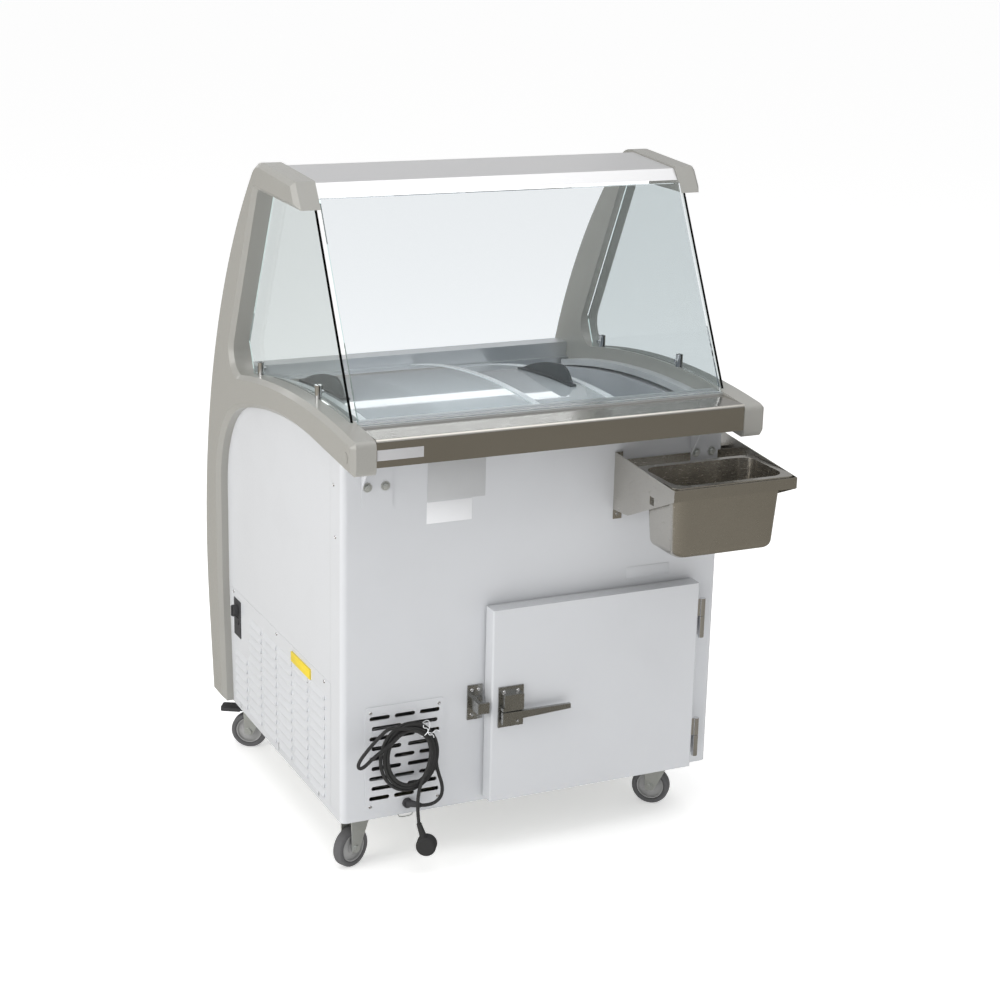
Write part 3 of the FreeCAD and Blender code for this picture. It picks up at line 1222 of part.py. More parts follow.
def brake_pedal(name):
    """Foot pedal of a braked caster, pivoted between the fork's cheeks over the wheel."""
    x, z = BRAKE_PIVOT
    half = WHEEL_WIDTH / 2 + FORK_GAP - 1.0
    arm = box(x - 5, x + 20, -half, half, z - 4, z + 4)
    tread = box(x + 14, x + BRAKE_LENGTH, -BRAKE_HALF_WIDTH, BRAKE_HALF_WIDTH, z - 4, z + 4)
    corners = [(x + BRAKE_LENGTH, s * BRAKE_HALF_WIDTH) for s in (-1, 1)]
    tread = round_lines(tread, Z_AXIS, corners, 6.0)
    bore = rod((x, -half - 1, z), Y_AXIS, BRAKE_PIN_R + AXLE_CLEAR, 2 * half + 2)
    return turned(arm.fuse(tread).cut(bore), name)


# ---------------------------------------------------------------- mains cord
def cord_gland():
    """Tapered strain relief where the cord leaves the front, turned to one side."""
    root = V(GLAND_ROOT[0], GLAND_ROOT[1], GLAND_ROOT[2])
    tip = V(*CORD_TO_COIL[0])
    cone = Part.makeCone(GLAND_R, CORD_R + 1.2, (tip - root).Length, root, tip - root)
    nut = rod((GLAND_ROOT[0], -VENT_SHEET - GLAND_NUT, GLAND_ROOT[2]), Y_AXIS, GLAND_R + 2, GLAND_NUT)
    return nut.fuse(cone).cut(box(-HALF, HALF, -VENT_SHEET, HALF, 0, TRACK_TOP))


def smooth_path(points):
    """Straight runs joined by arcs as large as the runs allow, as one wire."""
    corners = [V(*point) for point in points]
    edges = []
    here = corners[0]
    for before, corner, after in zip(corners, corners[1:], corners[2:]):
        u, w = before - corner, after - corner
        reach = 0.45 * min(u.Length, w.Length)
        turn = math.pi - u.getAngle(w)
        u.normalize()
        w.normalize()
        radius = reach / math.tan(turn / 2)
        middle = corner + (u + w).normalize() * (radius / math.cos(turn / 2) - radius)
        edges.append(Part.LineSegment(here, corner + u * reach).toShape())
        edges.append(Part.Arc(corner + u * reach, middle, corner + w * reach).toShape())
        here = corner + w * reach
    edges.append(Part.LineSegment(here, corners[-1]).toShape())
    return Part.Wire(edges)


def cord_run(points):
    """One free stretch of the cord, as a round tube."""
    wire = smooth_path(points)
    start = V(*points[1]) - V(*points[0])
    ring = Part.Wire(Part.makeCircle(CORD_R, V(*points[0]), start))
    return wire.makePipeShell([ring], True, False)


def cord_tube():
    """The stretches from the gland to the coil, out of the coil and back, and down to the plug."""
    return group([cord_run(run).cut(cord_coil()) for run in (CORD_TO_COIL, CORD_STRAY, CORD_TO_PLUG)])


def plug():
    """Round angled mains plug with its strain relief and two pins."""
    top = V(*CORD_TO_PLUG[-1])
    down = V(PLUG_LEAN).normalize()
    relief = Part.makeCone(PLUG_RELIEF_R[0], PLUG_RELIEF_R[1], PLUG_RELIEF, top, down)
    face = V(math.sin(PLUG_TURN), math.cos(PLUG_TURN), 0)
    across = V(math.cos(PLUG_TURN), -math.sin(PLUG_TURN), 0)
    centre = top + down * (PLUG_RELIEF + PLUG_R - PLUG_NECK)
    body = Part.makeCylinder(PLUG_R, PLUG_DEPTH, centre - face * PLUG_DEPTH / 2, face)
    body = body.makeFillet(PLUG_ROUND, [edge for edge in body.Edges if isinstance(edge.Curve, Part.Circle)
                                        and (edge.CenterOfMass - centre).dot(face) < 0])
    pins = [Part.makeCylinder(PLUG_PIN_R, PLUG_PIN, centre + face * PLUG_DEPTH / 2 + across * s * PLUG_PIN_PITCH / 2,
                              face) for s in (-1, 1)]
    return body.fuse([relief] + pins)


def cord_coil():
    """The hanging coil as one flat ring."""
    x, y, z = COIL_CENTRE

    def oval(radii, y0, thick):
        ellipse = Part.Ellipse(V(x, y0, z + radii[1]), V(x + radii[0], y0, z), V(x, y0, z))
        return Part.Face(Part.Wire(ellipse.toShape())).extrude(V(0, thick, 0))

    outer = oval(COIL_OUTER, y - COIL_THICK / 2, COIL_THICK)
    inner = oval(COIL_INNER, y - COIL_THICK / 2 - 1, COIL_THICK + 2)
    return outer.cut(inner)


NODES = {
    "front_panel": front_panel,
    "side_panel_left": side_panel_left,
    "side_panel_right": side_panel_right,
    "louvre_panel": louvre_panel,
    "vent_panel": vent_panel,
    "rear_panel": rear_panel,
    "base_tray": base_tray,
    "foam_core": foam_core,
    "tank_liner": tank_liner,
    "store_liner": store_liner,
    "refrigerant_pipes": refrigerant_pipes,
    "side_frame_left": side_frame_left,
    "side_frame_right": lambda: mirrored(side_frame_left()),
    "cheek_ledges": cheek_ledges,
    "front_ledge": front_ledge,
    "ledge_brackets": ledge_brackets,
    "inner_rail": inner_rail,
    "rear_rail": rear_rail,
    "front_glass": front_glass,
    "side_glass": side_glass,
    "glass_clamps": glass_clamps,
    "top_shelf": top_shelf,
    "led_lamp": led_lamp,
    "upper_lid_glass": lambda: lid_glass(True),
    "upper_lid_trim": lambda: lid_trim(True),
    "upper_lid_handle": lambda: lid_handle(True),
    "lower_lid_glass": lambda: lid_glass(False),
    "lower_lid_trim": lambda: lid_trim(False),
    "lower_lid_handle": lambda: lid_handle(False),
    "store_door": store_door,
    "door_gasket": door_gasket,
    "hinge_posts": lambda: group([hinge_post(z) for z in HINGE_Z]),
    "hinge_leaves": lambda: group([hinge_leaf(z) for z in HINGE_Z]),
    "latch_body": latch_body,
    "latch_lever": latch_lever,
    "latch_strike": latch_strike,
    "pan_bracket": pan_bracket,
    "gn_pan": gn_pan,
    "compressor": compressor,
    "condenser": condenser,
    "fan_motor": fan_motor,
    "fan_blade": fan_blade,
    "switch_plate": switch_plate,
    "thermostat_knob": thermostat_knob,
    "rocker_switch": rocker_switch,
    "caster_plates": caster_plates,
    "cord_gland": cord_gland,
    "cord_tube": cord_tube,
    "cord_coil": cord_coil,
    "plug": plug,
}
for caster in CASTERS:
    NODES["fork_" + caster] = lambda name=caster: caster_fork(name)
    NODES["wheel_" + caster] = lambda name=caster: caster_wheel(name)
    if CASTERS[caster][3]:
        NODES["brake_" + caster] = lambda name=caster: brake_pedal(name)


def main():
    """Build every node and write its STEP file."""
    os.makedirs("parts", exist_ok=True)
    for name, make in NODES.items():
        shape = make()
        shape.translate(V(0, SHIFT_Y, 0))
        state = "" if shape.isValid() else "invalid"
        print(f"{name:20s} solids {len(shape.Solids):3d} volume {shape.Volume / 1000:10.1f} cm3 {state}")
        shape.exportStep(f"parts/{name}.step")


if __name__ == "__main__":
    main()
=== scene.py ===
"""Ice cream display freezer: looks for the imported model.

Metres, +Z up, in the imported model's own frame: X to the right along the front, Y from
the front to the rear, and the origin on the floor under the middle of the object.
"""
import json
import math

import bmesh
import bpy
from mathutils import Matrix, Vector


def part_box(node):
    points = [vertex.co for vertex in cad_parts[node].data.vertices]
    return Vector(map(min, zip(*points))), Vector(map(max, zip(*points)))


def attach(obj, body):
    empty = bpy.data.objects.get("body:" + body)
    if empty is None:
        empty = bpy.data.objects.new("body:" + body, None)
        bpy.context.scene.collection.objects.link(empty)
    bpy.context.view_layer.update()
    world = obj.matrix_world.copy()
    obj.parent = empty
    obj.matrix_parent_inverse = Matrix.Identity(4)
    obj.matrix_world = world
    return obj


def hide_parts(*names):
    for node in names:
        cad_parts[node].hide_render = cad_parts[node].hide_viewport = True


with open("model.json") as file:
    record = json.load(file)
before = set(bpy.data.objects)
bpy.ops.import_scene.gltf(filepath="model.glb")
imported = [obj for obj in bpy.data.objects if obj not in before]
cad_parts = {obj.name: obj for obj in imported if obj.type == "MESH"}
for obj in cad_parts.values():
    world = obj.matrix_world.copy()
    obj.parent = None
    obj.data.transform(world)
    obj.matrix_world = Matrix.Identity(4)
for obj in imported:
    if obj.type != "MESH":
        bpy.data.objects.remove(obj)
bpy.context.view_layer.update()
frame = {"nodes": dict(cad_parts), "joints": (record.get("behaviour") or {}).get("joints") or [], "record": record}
NODES = frame["nodes"]
JOINTS = {joint["name"]: joint for joint in frame["joints"]}

bl_info = {
    "name": "Ice Cream Display Freezer",
    "version": (1, 0, 0),
    "blender": (4, 5, 0),
    "location": "View3D > Sidebar > Freezer",
    "description": "Builds the looks of an ice cream display freezer over its packed model",
    "category": "Add Mesh",
}

FACE_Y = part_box("front_panel")[0].y
SIDE_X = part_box("front_panel")[0].x
BUMP_DEPTH = 0.0005
COAT_ROUGHNESS = 0.08


# ------------------------------------------------------------------ sizes
class StageSettings(bpy.types.PropertyGroup):
    """Camera, floor and light."""
    camera_place: bpy.props.FloatVectorProperty(
        name="Camera Place", description="Where the camera stands", size=3, subtype="XYZ", unit="LENGTH",
        default=(-1.6942, -3.6538, 1.8757))
    camera_turn: bpy.props.FloatProperty(
        name="Camera Turn", description="Turn of the view from +Y towards +X", subtype="ANGLE",
        default=math.radians(25.463))
    camera_dip: bpy.props.FloatProperty(
        name="Camera Dip", description="How far the view looks down", subtype="ANGLE",
        default=math.radians(16.886))
    camera_roll: bpy.props.FloatProperty(
        name="Camera Roll", description="Lean of the camera about its line of sight", subtype="ANGLE",
        default=math.radians(1.401))
    lens: bpy.props.FloatProperty(
        name="Lens", description="Focal length on a 36 mm sensor", subtype="DISTANCE_CAMERA", default=73.44)
    floor_size: bpy.props.FloatProperty(
        name="Floor Size", description="Side of the floor", unit="LENGTH", default=120.0)
    sky_strength: bpy.props.FloatProperty(
        name="Sky Strength", description="Strength of the light from overhead", default=0.70)
    horizon: bpy.props.FloatProperty(
        name="Horizon Share", description="Light from the horizon as a share of the light from overhead",
        default=0.35)


class CordSettings(bpy.types.PropertyGroup):
    """Mains cord and its coil."""
    diameter: bpy.props.FloatProperty(
        name="Cord Diameter", description="Thickness of the mains cord", unit="LENGTH", default=0.007)
    coil_radius: bpy.props.FloatProperty(
        name="Coil Radius", description="Sideways radius of the turns where they are tied", unit="LENGTH",
        default=0.057)
    coil_stretch: bpy.props.FloatProperty(
        name="Coil Stretch", description="How much taller the coil is than its sideways radius",
        unit="LENGTH", default=0.0115)
    turn_points: bpy.props.IntProperty(
        name="Points per Turn", description="Points in each turn of the coil", default=16)
    colour: bpy.props.FloatVectorProperty(
        name="Cord Colour", description="Colour of the cord and plug", size=3, subtype="COLOR",
        default=(0.0055, 0.0055, 0.006))


class CabinetSettings(bpy.types.PropertyGroup):
    """Finishes and small fittings of the cabinet."""
    white: bpy.props.FloatVectorProperty(
        name="Sheet White", description="Colour of the powder coated sheet", size=3, subtype="COLOR",
        default=(0.665, 0.680, 0.705))
    frame_grey: bpy.props.FloatVectorProperty(
        name="Frame Grey", description="Colour of the moulded side frames", size=3, subtype="COLOR",
        default=(0.36, 0.355, 0.332))
    charcoal: bpy.props.FloatVectorProperty(
        name="Charcoal", description="Colour of the lid handles", size=3, subtype="COLOR",
        default=(0.012, 0.013, 0.014))
    screw_radius: bpy.props.FloatProperty(
        name="Screw Radius", description="Radius of a small pan head", unit="LENGTH", default=0.0036)
    bolt_radius: bpy.props.FloatProperty(
        name="Bolt Radius", description="Radius of a ledge bolt's head", unit="LENGTH", default=0.0062)
    lamp_strength: bpy.props.FloatProperty(
        name="Lamp Strength", description="Glow of the lamp under the shelf", default=1.2)


# ------------------------------------------------------------ modelling aids
def clear_choice():
    """Back to object mode with nothing selected."""
    if bpy.context.object and bpy.context.object.mode != "OBJECT":
        bpy.ops.object.mode_set(mode="OBJECT")
    bpy.ops.object.select_all(action="DESELECT")


def take(piece):
    """Make one piece the only selected and active object."""
    clear_choice()
    piece.select_set(True)
    bpy.context.view_layer.objects.active = piece
    return piece


def bake_place(piece):
    """Put a piece's place into its mesh, with its object at the origin."""
    take(piece)
    bpy.ops.object.transform_apply(location=True, rotation=True, scale=True)
    return piece


def edit(piece):
    """Enter edit mode on one piece with nothing chosen."""
    take(piece)
    bpy.ops.object.mode_set(mode="EDIT")
    bpy.ops.mesh.select_all(action="DESELECT")


def choose(piece, kind, test):
    """In edit mode, choose the faces, edges or points whose middle passes a test."""
    bpy.ops.mesh.select_mode(type=kind)
    bpy.ops.mesh.select_all(action="DESELECT")
    mesh = bmesh.from_edit_mesh(piece.data)
    if kind == "FACE":
        for face in mesh.faces:
            face.select_set(test(face.calc_center_median(), face.normal))
    elif kind == "EDGE":
        for edge in mesh.edges:
            first, last = (vert.co for vert in edge.verts)
            edge.select_set(test((first + last) / 2, last - first))
    else:
        for vert in mesh.verts:
            vert.select_set(test(vert.co, None))
    mesh.select_flush_mode()
    bmesh.update_edit_mesh(piece.data)


def leave(piece):
    """Back to object mode."""
    bpy.ops.object.mode_set(mode="OBJECT")
    return piece


def block(name, low, high):
    """A block between two corners, ready to be shaped."""
    clear_choice()
    low, high = Vector(low), Vector(high)
    bpy.ops.mesh.primitive_cube_add(size=1, location=(low + high) / 2)
    piece = bpy.context.object
    piece.scale = high - low
    piece.name = name
    return bake_place(piece)


def disc(name, radius, depth, sides=48):
    """A round blank on the Z axis, with its middle at the origin."""
    clear_choice()
    bpy.ops.mesh.primitive_cylinder_add(vertices=sides, radius=radius, depth=depth)
    piece = bpy.context.object
    piece.name = name
    return piece


def round_over(piece, width, segments=3, angle=30.0):
    """Bevel a piece's sharp edges and apply it."""
    bevel = piece.modifiers.new("Edges", "BEVEL")
    bevel.width = width
    bevel.segments = segments
    bevel.limit_method = "ANGLE"
    bevel.angle_limit = math.radians(angle)
    take(piece)
    bpy.ops.object.modifier_apply(modifier=bevel.name)
    return piece


def smooth(piece, angle=40.0):
    """Smooth shading with sharp edges kept."""
    take(piece)
    bpy.ops.object.shade_smooth_by_angle(angle=math.radians(angle))
    return piece


def copy_to(piece, matrix):
    """A copy with its own mesh, moved by a matrix."""
    other = piece.copy()
    other.data = piece.data.copy()
    bpy.context.scene.collection.objects.link(other)
    other.data.transform(matrix)
    return other


def join(name, pieces):
    """One or more meshes made into one piece."""
    take(pieces[0])
    for piece in pieces:
        piece.select_set(True)
    if len(pieces) > 1:
        bpy.ops.object.join()
    pieces[0].name = name
    return pieces[0]


def face_along(direction):
    """A turn that takes +Z to a direction."""
    return Vector(direction).to_track_quat("Z", "Y").to_matrix().to_4x4()


def round_wire(name, points, radius):
    """A round wire guided by its points, as a curve."""
    data = bpy.data.curves.new(name, "CURVE")
    data.dimensions = "3D"
    data.bevel_depth = radius
    spline = data.splines.new("NURBS")
    spline.points.add(len(points) - 1)
    for point, place in zip(spline.points, points):
        point.co = (*place, 1.0)
    spline.order_u = 3
    spline.use_endpoint_u = True
    wire = bpy.data.objects.new(name, data)
    bpy.context.scene.collection.objects.link(wire)
    return wire


def to_mesh(wire):
    """A curve made into a mesh."""
    take(wire)
    bpy.ops.object.convert(target="MESH")
    return bpy.context.object


def finish_piece(piece, body, material, replaces=()):
    """Give a piece its body and material."""
    piece.data.materials.clear()
    piece.data.materials.append(material)
    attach(piece, body)
    if replaces:
        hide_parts(*replaces)
    return piece


# ------------------------------------------------------------- shared effects
def group_socket(group, name, way, kind, default=None):
    """One named socket of a node group."""
    socket = group.interface.new_socket(name=name, in_out=way, socket_type=kind)
    if default is not None:
        socket.default_value = default
    return socket


def grain_group():
    """Fine surface grain: a height, and a roughness that varies between two values."""
    group = bpy.data.node_groups.get("Surface Grain")
    if group:
        return group
    group = bpy.data.node_groups.new("Surface Grain", "ShaderNodeTree")
    group_socket(group, "Scale", "INPUT", "NodeSocketFloat", 400.0)
    group_socket(group, "Stretch", "INPUT", "NodeSocketVector", (1.0, 1.0, 1.0))
    group_socket(group, "Low", "INPUT", "NodeSocketFloat", 0.25)
    group_socket(group, "High", "INPUT", "NodeSocketFloat", 0.35)
    group_socket(group, "Height", "OUTPUT", "NodeSocketFloat")
    group_socket(group, "Roughness", "OUTPUT", "NodeSocketFloat")
    nodes, links = group.nodes, group.links
    entry = nodes.new("NodeGroupInput")
    leave_node = nodes.new("NodeGroupOutput")
    place = nodes.new("ShaderNodeTexCoord")
    stretch = nodes.new("ShaderNodeVectorMath")
    stretch.operation = "MULTIPLY"
    noise = nodes.new("ShaderNodeTexNoise")
    noise.inputs["Detail"].default_value = 3.0
    spread = nodes.new("ShaderNodeMapRange")
    spread.inputs["From Min"].default_value = 0.3
    spread.inputs["From Max"].default_value = 0.7
    links.new(place.outputs["Object"], stretch.inputs[0])
    links.new(entry.outputs["Stretch"], stretch.inputs[1])
    links.new(stretch.outputs["Vector"], noise.inputs["Vector"])
    links.new(entry.outputs["Scale"], noise.inputs["Scale"])
    links.new(noise.outputs["Fac"], spread.inputs["Value"])
    links.new(entry.outputs["Low"], spread.inputs["To Min"])
    links.new(entry.outputs["High"], spread.inputs["To Max"])
    links.new(noise.outputs["Fac"], leave_node.inputs["Height"])
    links.new(spread.outputs["Result"], leave_node.inputs["Roughness"])
    return group


def add_grain(tree, **values):
    """A surface grain node in a material, with some of its values set."""
    grain = tree.nodes.new("ShaderNodeGroup")
    grain.node_tree = grain_group()
    for name, value in values.items():
        grain.inputs[name].default_value = value
    return grain


def handling_group():
    """Broad, faint marks of handling: a colour that drifts between two shades."""
    group = bpy.data.node_groups.get("Handling Marks")
    if group:
        return group
    group = bpy.data.node_groups.new("Handling Marks", "ShaderNodeTree")
    group_socket(group, "Colour", "INPUT", "NodeSocketColor", (0.8, 0.8, 0.8, 1.0))
    group_socket(group, "Marked Colour", "INPUT", "NodeSocketColor", (0.6, 0.6, 0.6, 1.0))
    group_socket(group, "Amount", "INPUT", "NodeSocketFloat", 0.3)
    group_socket(group, "Size", "INPUT", "NodeSocketFloat", 6.0)
    group_socket(group, "Colour", "OUTPUT", "NodeSocketColor")
    group_socket(group, "Mask", "OUTPUT", "NodeSocketFloat")
    nodes, links = group.nodes, group.links
    entry = nodes.new("NodeGroupInput")
    leave_node = nodes.new("NodeGroupOutput")
    place = nodes.new("ShaderNodeTexCoord")
    noise = nodes.new("ShaderNodeTexNoise")
    noise.inputs["Detail"].default_value = 5.0
    noise.inputs["Roughness"].default_value = 0.6
    spread = nodes.new("ShaderNodeMapRange")
    spread.inputs["From Min"].default_value = 0.45
    spread.inputs["From Max"].default_value = 0.75
    share = nodes.new("ShaderNodeMath")
    share.operation = "MULTIPLY"
    mix = nodes.new("ShaderNodeMix")
    mix.data_type = "RGBA"
    links.new(place.outputs["Object"], noise.inputs["Vector"])
    links.new(entry.outputs["Size"], noise.inputs["Scale"])
    links.new(noise.outputs["Fac"], spread.inputs["Value"])
    links.new(spread.outputs["Result"], share.inputs[0])
    links.new(entry.outputs["Amount"], share.inputs[1])
    links.new(share.outputs["Value"], mix.inputs["Factor"])
    links.new(entry.outputs["Colour"], mix.inputs["A"])
    links.new(entry.outputs["Marked Colour"], mix.inputs["B"])
    links.new(mix.outputs["Result"], leave_node.inputs["Colour"])
    links.new(share.outputs["Value"], leave_node.inputs["Mask"])
    return group


def shader_of(name):
    """A new material with one Principled shader."""
    material = bpy.data.materials.new(name)
    material.use_nodes = True
    return material, material.node_tree, material.node_tree.nodes["Principled BSDF"]


def finish_of(name, colour, marked, low, high, scale=400.0, stretch=(1.0, 1.0, 1.0), bump=0.02,
              marks=0.3, marks_size=6.0, metallic=0.0, coat=0.0, gloss=0.5):
    """A solid finish: drifting colour, grained roughness and a fine bump."""
    found = bpy.data.materials.get(name)
    if found:
        return found
    material, tree, shader = shader_of(name)
    grain = add_grain(tree, Scale=scale, Stretch=stretch, Low=low, High=high)
    hand = tree.nodes.new("ShaderNodeGroup")
    hand.node_tree = handling_group()
    hand.inputs["Colour"].default_value = (*colour, 1.0)
    hand.inputs["Marked Colour"].default_value = (*marked, 1.0)
    hand.inputs["Amount"].default_value = marks
    hand.inputs["Size"].default_value = marks_size
    relief = tree.nodes.new("ShaderNodeBump")
    relief.inputs["Strength"].default_value = bump
    relief.inputs["Distance"].default_value = BUMP_DEPTH
    tree.links.new(hand.outputs["Colour"], shader.inputs["Base Color"])
    tree.links.new(grain.outputs["Roughness"], shader.inputs["Roughness"])
    tree.links.new(grain.outputs["Height"], relief.inputs["Height"])
    tree.links.new(relief.outputs["Normal"], shader.inputs["Normal"])
    shader.inputs["Metallic"].default_value = metallic
    shader.inputs["Coat Weight"].default_value = coat
    shader.inputs["Specular IOR Level"].default_value = gloss
    shader.inputs["Coat Roughness"].default_value = COAT_ROUGHNESS
    return material


# ------------------------------------------------------------------ finishes
def powder_coat():
    """Gloss white powder coat with a faint orange peel."""
    white = bpy.context.scene.freezer_cabinet.white
    return finish_of("powder_coat", white, [part * 0.95 for part in white], 0.16, 0.26, scale=260.0,
                     bump=0.05, marks=0.5, coat=0.25)


def frame_gloss():
    """Warm silver-grey moulded plastic with a soft gloss."""
    grey = bpy.context.scene.freezer_cabinet.frame_grey
    return finish_of("frame_gloss", grey, [part * 0.92 for part in grey], 0.26, 0.36, scale=900.0,
                     bump=0.008, marks=0.25, coat=0.20)


def brushed_stainless():
    """Stainless steel brushed along its length."""
    return finish_of("brushed_stainless", (0.56, 0.54, 0.50), (0.46, 0.44, 0.40), 0.16, 0.26, scale=60.0,
                     stretch=(0.6, 22.0, 22.0), bump=0.04, marks=0.4, metallic=1.0)


def formed_stainless():
    """Stainless steel of the drawn pan and its folded bracket."""
    return finish_of("formed_stainless", (0.60, 0.58, 0.54), (0.50, 0.48, 0.44), 0.18, 0.28, scale=90.0,
                     stretch=(1.0, 1.0, 9.0), bump=0.06, marks=0.35, metallic=1.0)


def satin_aluminium():
    """Anodised aluminium with drawing lines along X."""
    return finish_of("satin_aluminium", (0.215, 0.22, 0.23), (0.19, 0.195, 0.205), 0.32, 0.44, scale=70.0,
                     stretch=(0.5, 16.0, 16.0), bump=0.04, marks=0.3, metallic=0.2)


def rail_aluminium():
    """Duller extruded aluminium of the tracks."""
    return finish_of("rail_aluminium", (0.60, 0.61, 0.61), (0.52, 0.53, 0.53), 0.34, 0.48, scale=80.0,
                     stretch=(0.4, 14.0, 14.0), bump=0.06, marks=0.4, metallic=0.8)


def polished_chrome():
    """Bright plated steel."""
    return finish_of("polished_chrome", (0.74, 0.74, 0.75), (0.60, 0.60, 0.61), 0.08, 0.16, scale=300.0,
                     bump=0.02, marks=0.4, marks_size=30.0, metallic=1.0)


def satin_chrome():
    """Cast latch metal, less bright than polish."""
    return finish_of("satin_chrome", (0.40, 0.40, 0.39), (0.28, 0.28, 0.27), 0.22, 0.34, scale=500.0,
                     bump=0.06, marks=0.5, marks_size=40.0, metallic=1.0)


def zinc_plate():
    """Zinc plated pressed steel with a faint spangle."""
    return finish_of("zinc_plate", (0.62, 0.64, 0.62), (0.50, 0.52, 0.50), 0.28, 0.46, scale=180.0,
                     bump=0.06, marks=0.6, marks_size=50.0, metallic=0.6)


def tyre_rubber():
    """Dark grey tread rubber, a little dusty."""
    return finish_of("tyre_rubber", (0.005, 0.005, 0.005), (0.016, 0.016, 0.015), 0.60, 0.80, scale=500.0,
                     bump=0.15, marks=0.40, marks_size=45.0, gloss=0.12)


def wheel_plastic():
    """Pale grey moulded wheel centre."""
    return finish_of("wheel_plastic", (0.42, 0.42, 0.42), (0.26, 0.26, 0.26), 0.36, 0.52, scale=500.0,
                     bump=0.10, marks=0.5, marks_size=40.0)


def charcoal_plastic():
    """Satin charcoal moulding of the handles."""
    dark = bpy.context.scene.freezer_cabinet.charcoal
    return finish_of("charcoal_plastic", dark, [part * 1.7 for part in dark], 0.30, 0.44, scale=900.0,
                     bump=0.10, marks=0.4, marks_size=25.0, gloss=0.25)


def black_plastic():
    """Black satin moulding of the controls and the gland."""
    return finish_of("black_plastic", (0.016, 0.016, 0.017), (0.035, 0.035, 0.036), 0.34, 0.50, scale=900.0,
                     bump=0.10, marks=0.4, marks_size=30.0, gloss=0.20)


def black_steel():
    """Black enamelled steel of the compressor and motor."""
    return finish_of("black_steel", (0.020, 0.020, 0.021), (0.05, 0.05, 0.05), 0.25, 0.40, scale=400.0,
                     bump=0.06, marks=0.4, marks_size=20.0, coat=0.2)


def cord_rubber():
    """Black cord sheath."""
    dark = bpy.context.scene.freezer_cord.colour
    return finish_of("cord_rubber", dark, [part * 2.0 for part in dark], 0.36, 0.50, scale=700.0,
                     bump=0.08, marks=0.5, marks_size=35.0, gloss=0.16)


def liner_plastic():
    """White smooth lining of the store."""
    return finish_of("liner_plastic", (0.80, 0.81, 0.83), (0.70, 0.71, 0.72), 0.30, 0.42, scale=300.0,
                     bump=0.05, marks=0.3)


def tank_aluminium():
    """Embossed aluminium of the ice cream tank."""
    return finish_of("tank_aluminium", (0.74, 0.75, 0.77), (0.62, 0.63, 0.65), 0.36, 0.52, scale=120.0,
                     bump=0.25, marks=0.4, marks_size=12.0, metallic=0.55)


def insulating_foam():
    """Rigid foam in the walls."""
    return finish_of("insulating_foam", (0.72, 0.62, 0.36), (0.60, 0.50, 0.28), 0.75, 0.90, scale=300.0,
                     bump=0.5, marks=0.5)


def drawn_copper():
    """Copper refrigerant tube."""
    return finish_of("drawn_copper", (0.62, 0.30, 0.19), (0.42, 0.20, 0.13), 0.24, 0.40, scale=200.0,
                     bump=0.05, marks=0.6, marks_size=25.0, metallic=1.0)


def inner_grey():
    """Satin grey lining inside the side frames."""
    return finish_of("inner_grey", (0.44, 0.45, 0.44), (0.39, 0.40, 0.39), 0.32, 0.44, scale=600.0,
                     bump=0.05, marks=0.4)


def gasket_rubber():
    """Grey magnetic door seal."""
    return finish_of("gasket_rubber", (0.30, 0.31, 0.32), (0.24, 0.25, 0.26), 0.45, 0.60, scale=500.0,
                     bump=0.08, marks=0.3)


def blank_label(name, colour):
    """Plain printed foil with nothing on it."""
    return finish_of(name, colour, [part * 0.93 for part in colour], 0.30, 0.42, scale=300.0,
                     bump=0.03, marks=0.4, marks_size=20.0, coat=0.2)


def let_lamps_through(tree, shader, share):
    """Light from lamps passes a glass shader, tinted by a share."""
    output = tree.nodes["Material Output"]
    clear = tree.nodes.new("ShaderNodeBsdfTransparent")
    clear.inputs["Color"].default_value = (*share, 1.0)
    path = tree.nodes.new("ShaderNodeLightPath")
    mix = tree.nodes.new("ShaderNodeMixShader")
    tree.links.new(path.outputs["Is Shadow Ray"], mix.inputs["Fac"])
    tree.links.new(shader.outputs["BSDF"], mix.inputs[1])
    tree.links.new(clear.outputs["BSDF"], mix.inputs[2])
    tree.links.new(mix.outputs["Shader"], output.inputs["Surface"])


EDGE_GREEN = (0.60, 0.82, 0.78)
EDGE_LIMIT = 0.6


def pane_glass(name, normal, clear_colour):
    """Clear pane whose cut edges are green; normal is square to its broad faces."""
    found = bpy.data.materials.get(name)
    if found:
        return found
    material, tree, shader = shader_of(name)
    geometry = tree.nodes.new("ShaderNodeNewGeometry")
    facing = tree.nodes.new("ShaderNodeVectorMath")
    facing.operation = "DOT_PRODUCT"
    facing.inputs[1].default_value = normal
    size = tree.nodes.new("ShaderNodeMath")
    size.operation = "ABSOLUTE"
    edge = tree.nodes.new("ShaderNodeMath")
    edge.operation = "LESS_THAN"
    edge.inputs[1].default_value = EDGE_LIMIT
    mix = tree.nodes.new("ShaderNodeMix")
    mix.data_type = "RGBA"
    mix.inputs["A"].default_value = (*clear_colour, 1.0)
    mix.inputs["B"].default_value = (*EDGE_GREEN, 1.0)
    tree.links.new(geometry.outputs["True Normal"], facing.inputs[0])
    tree.links.new(facing.outputs["Value"], size.inputs[0])
    tree.links.new(size.outputs["Value"], edge.inputs[0])
    tree.links.new(edge.outputs["Value"], mix.inputs["Factor"])
    tree.links.new(mix.outputs["Result"], shader.inputs["Base Color"])
    shader.inputs["Roughness"].default_value = 0.0
    shader.inputs["IOR"].default_value = 1.22
    shader.inputs["Transmission Weight"].default_value = 1.0
    let_lamps_through(tree, shader, (0.90, 0.94, 0.93))
    return material


def front_pane_glass():
    """Glass of the sloping front pane."""
    low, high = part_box("front_glass")
    rise, run = high.z - low.z, high.y - low.y
    size = math.hypot(rise, run)
    return pane_glass("front_pane_glass", (0.0, rise / size, -run / size), (0.82, 0.85, 0.87))


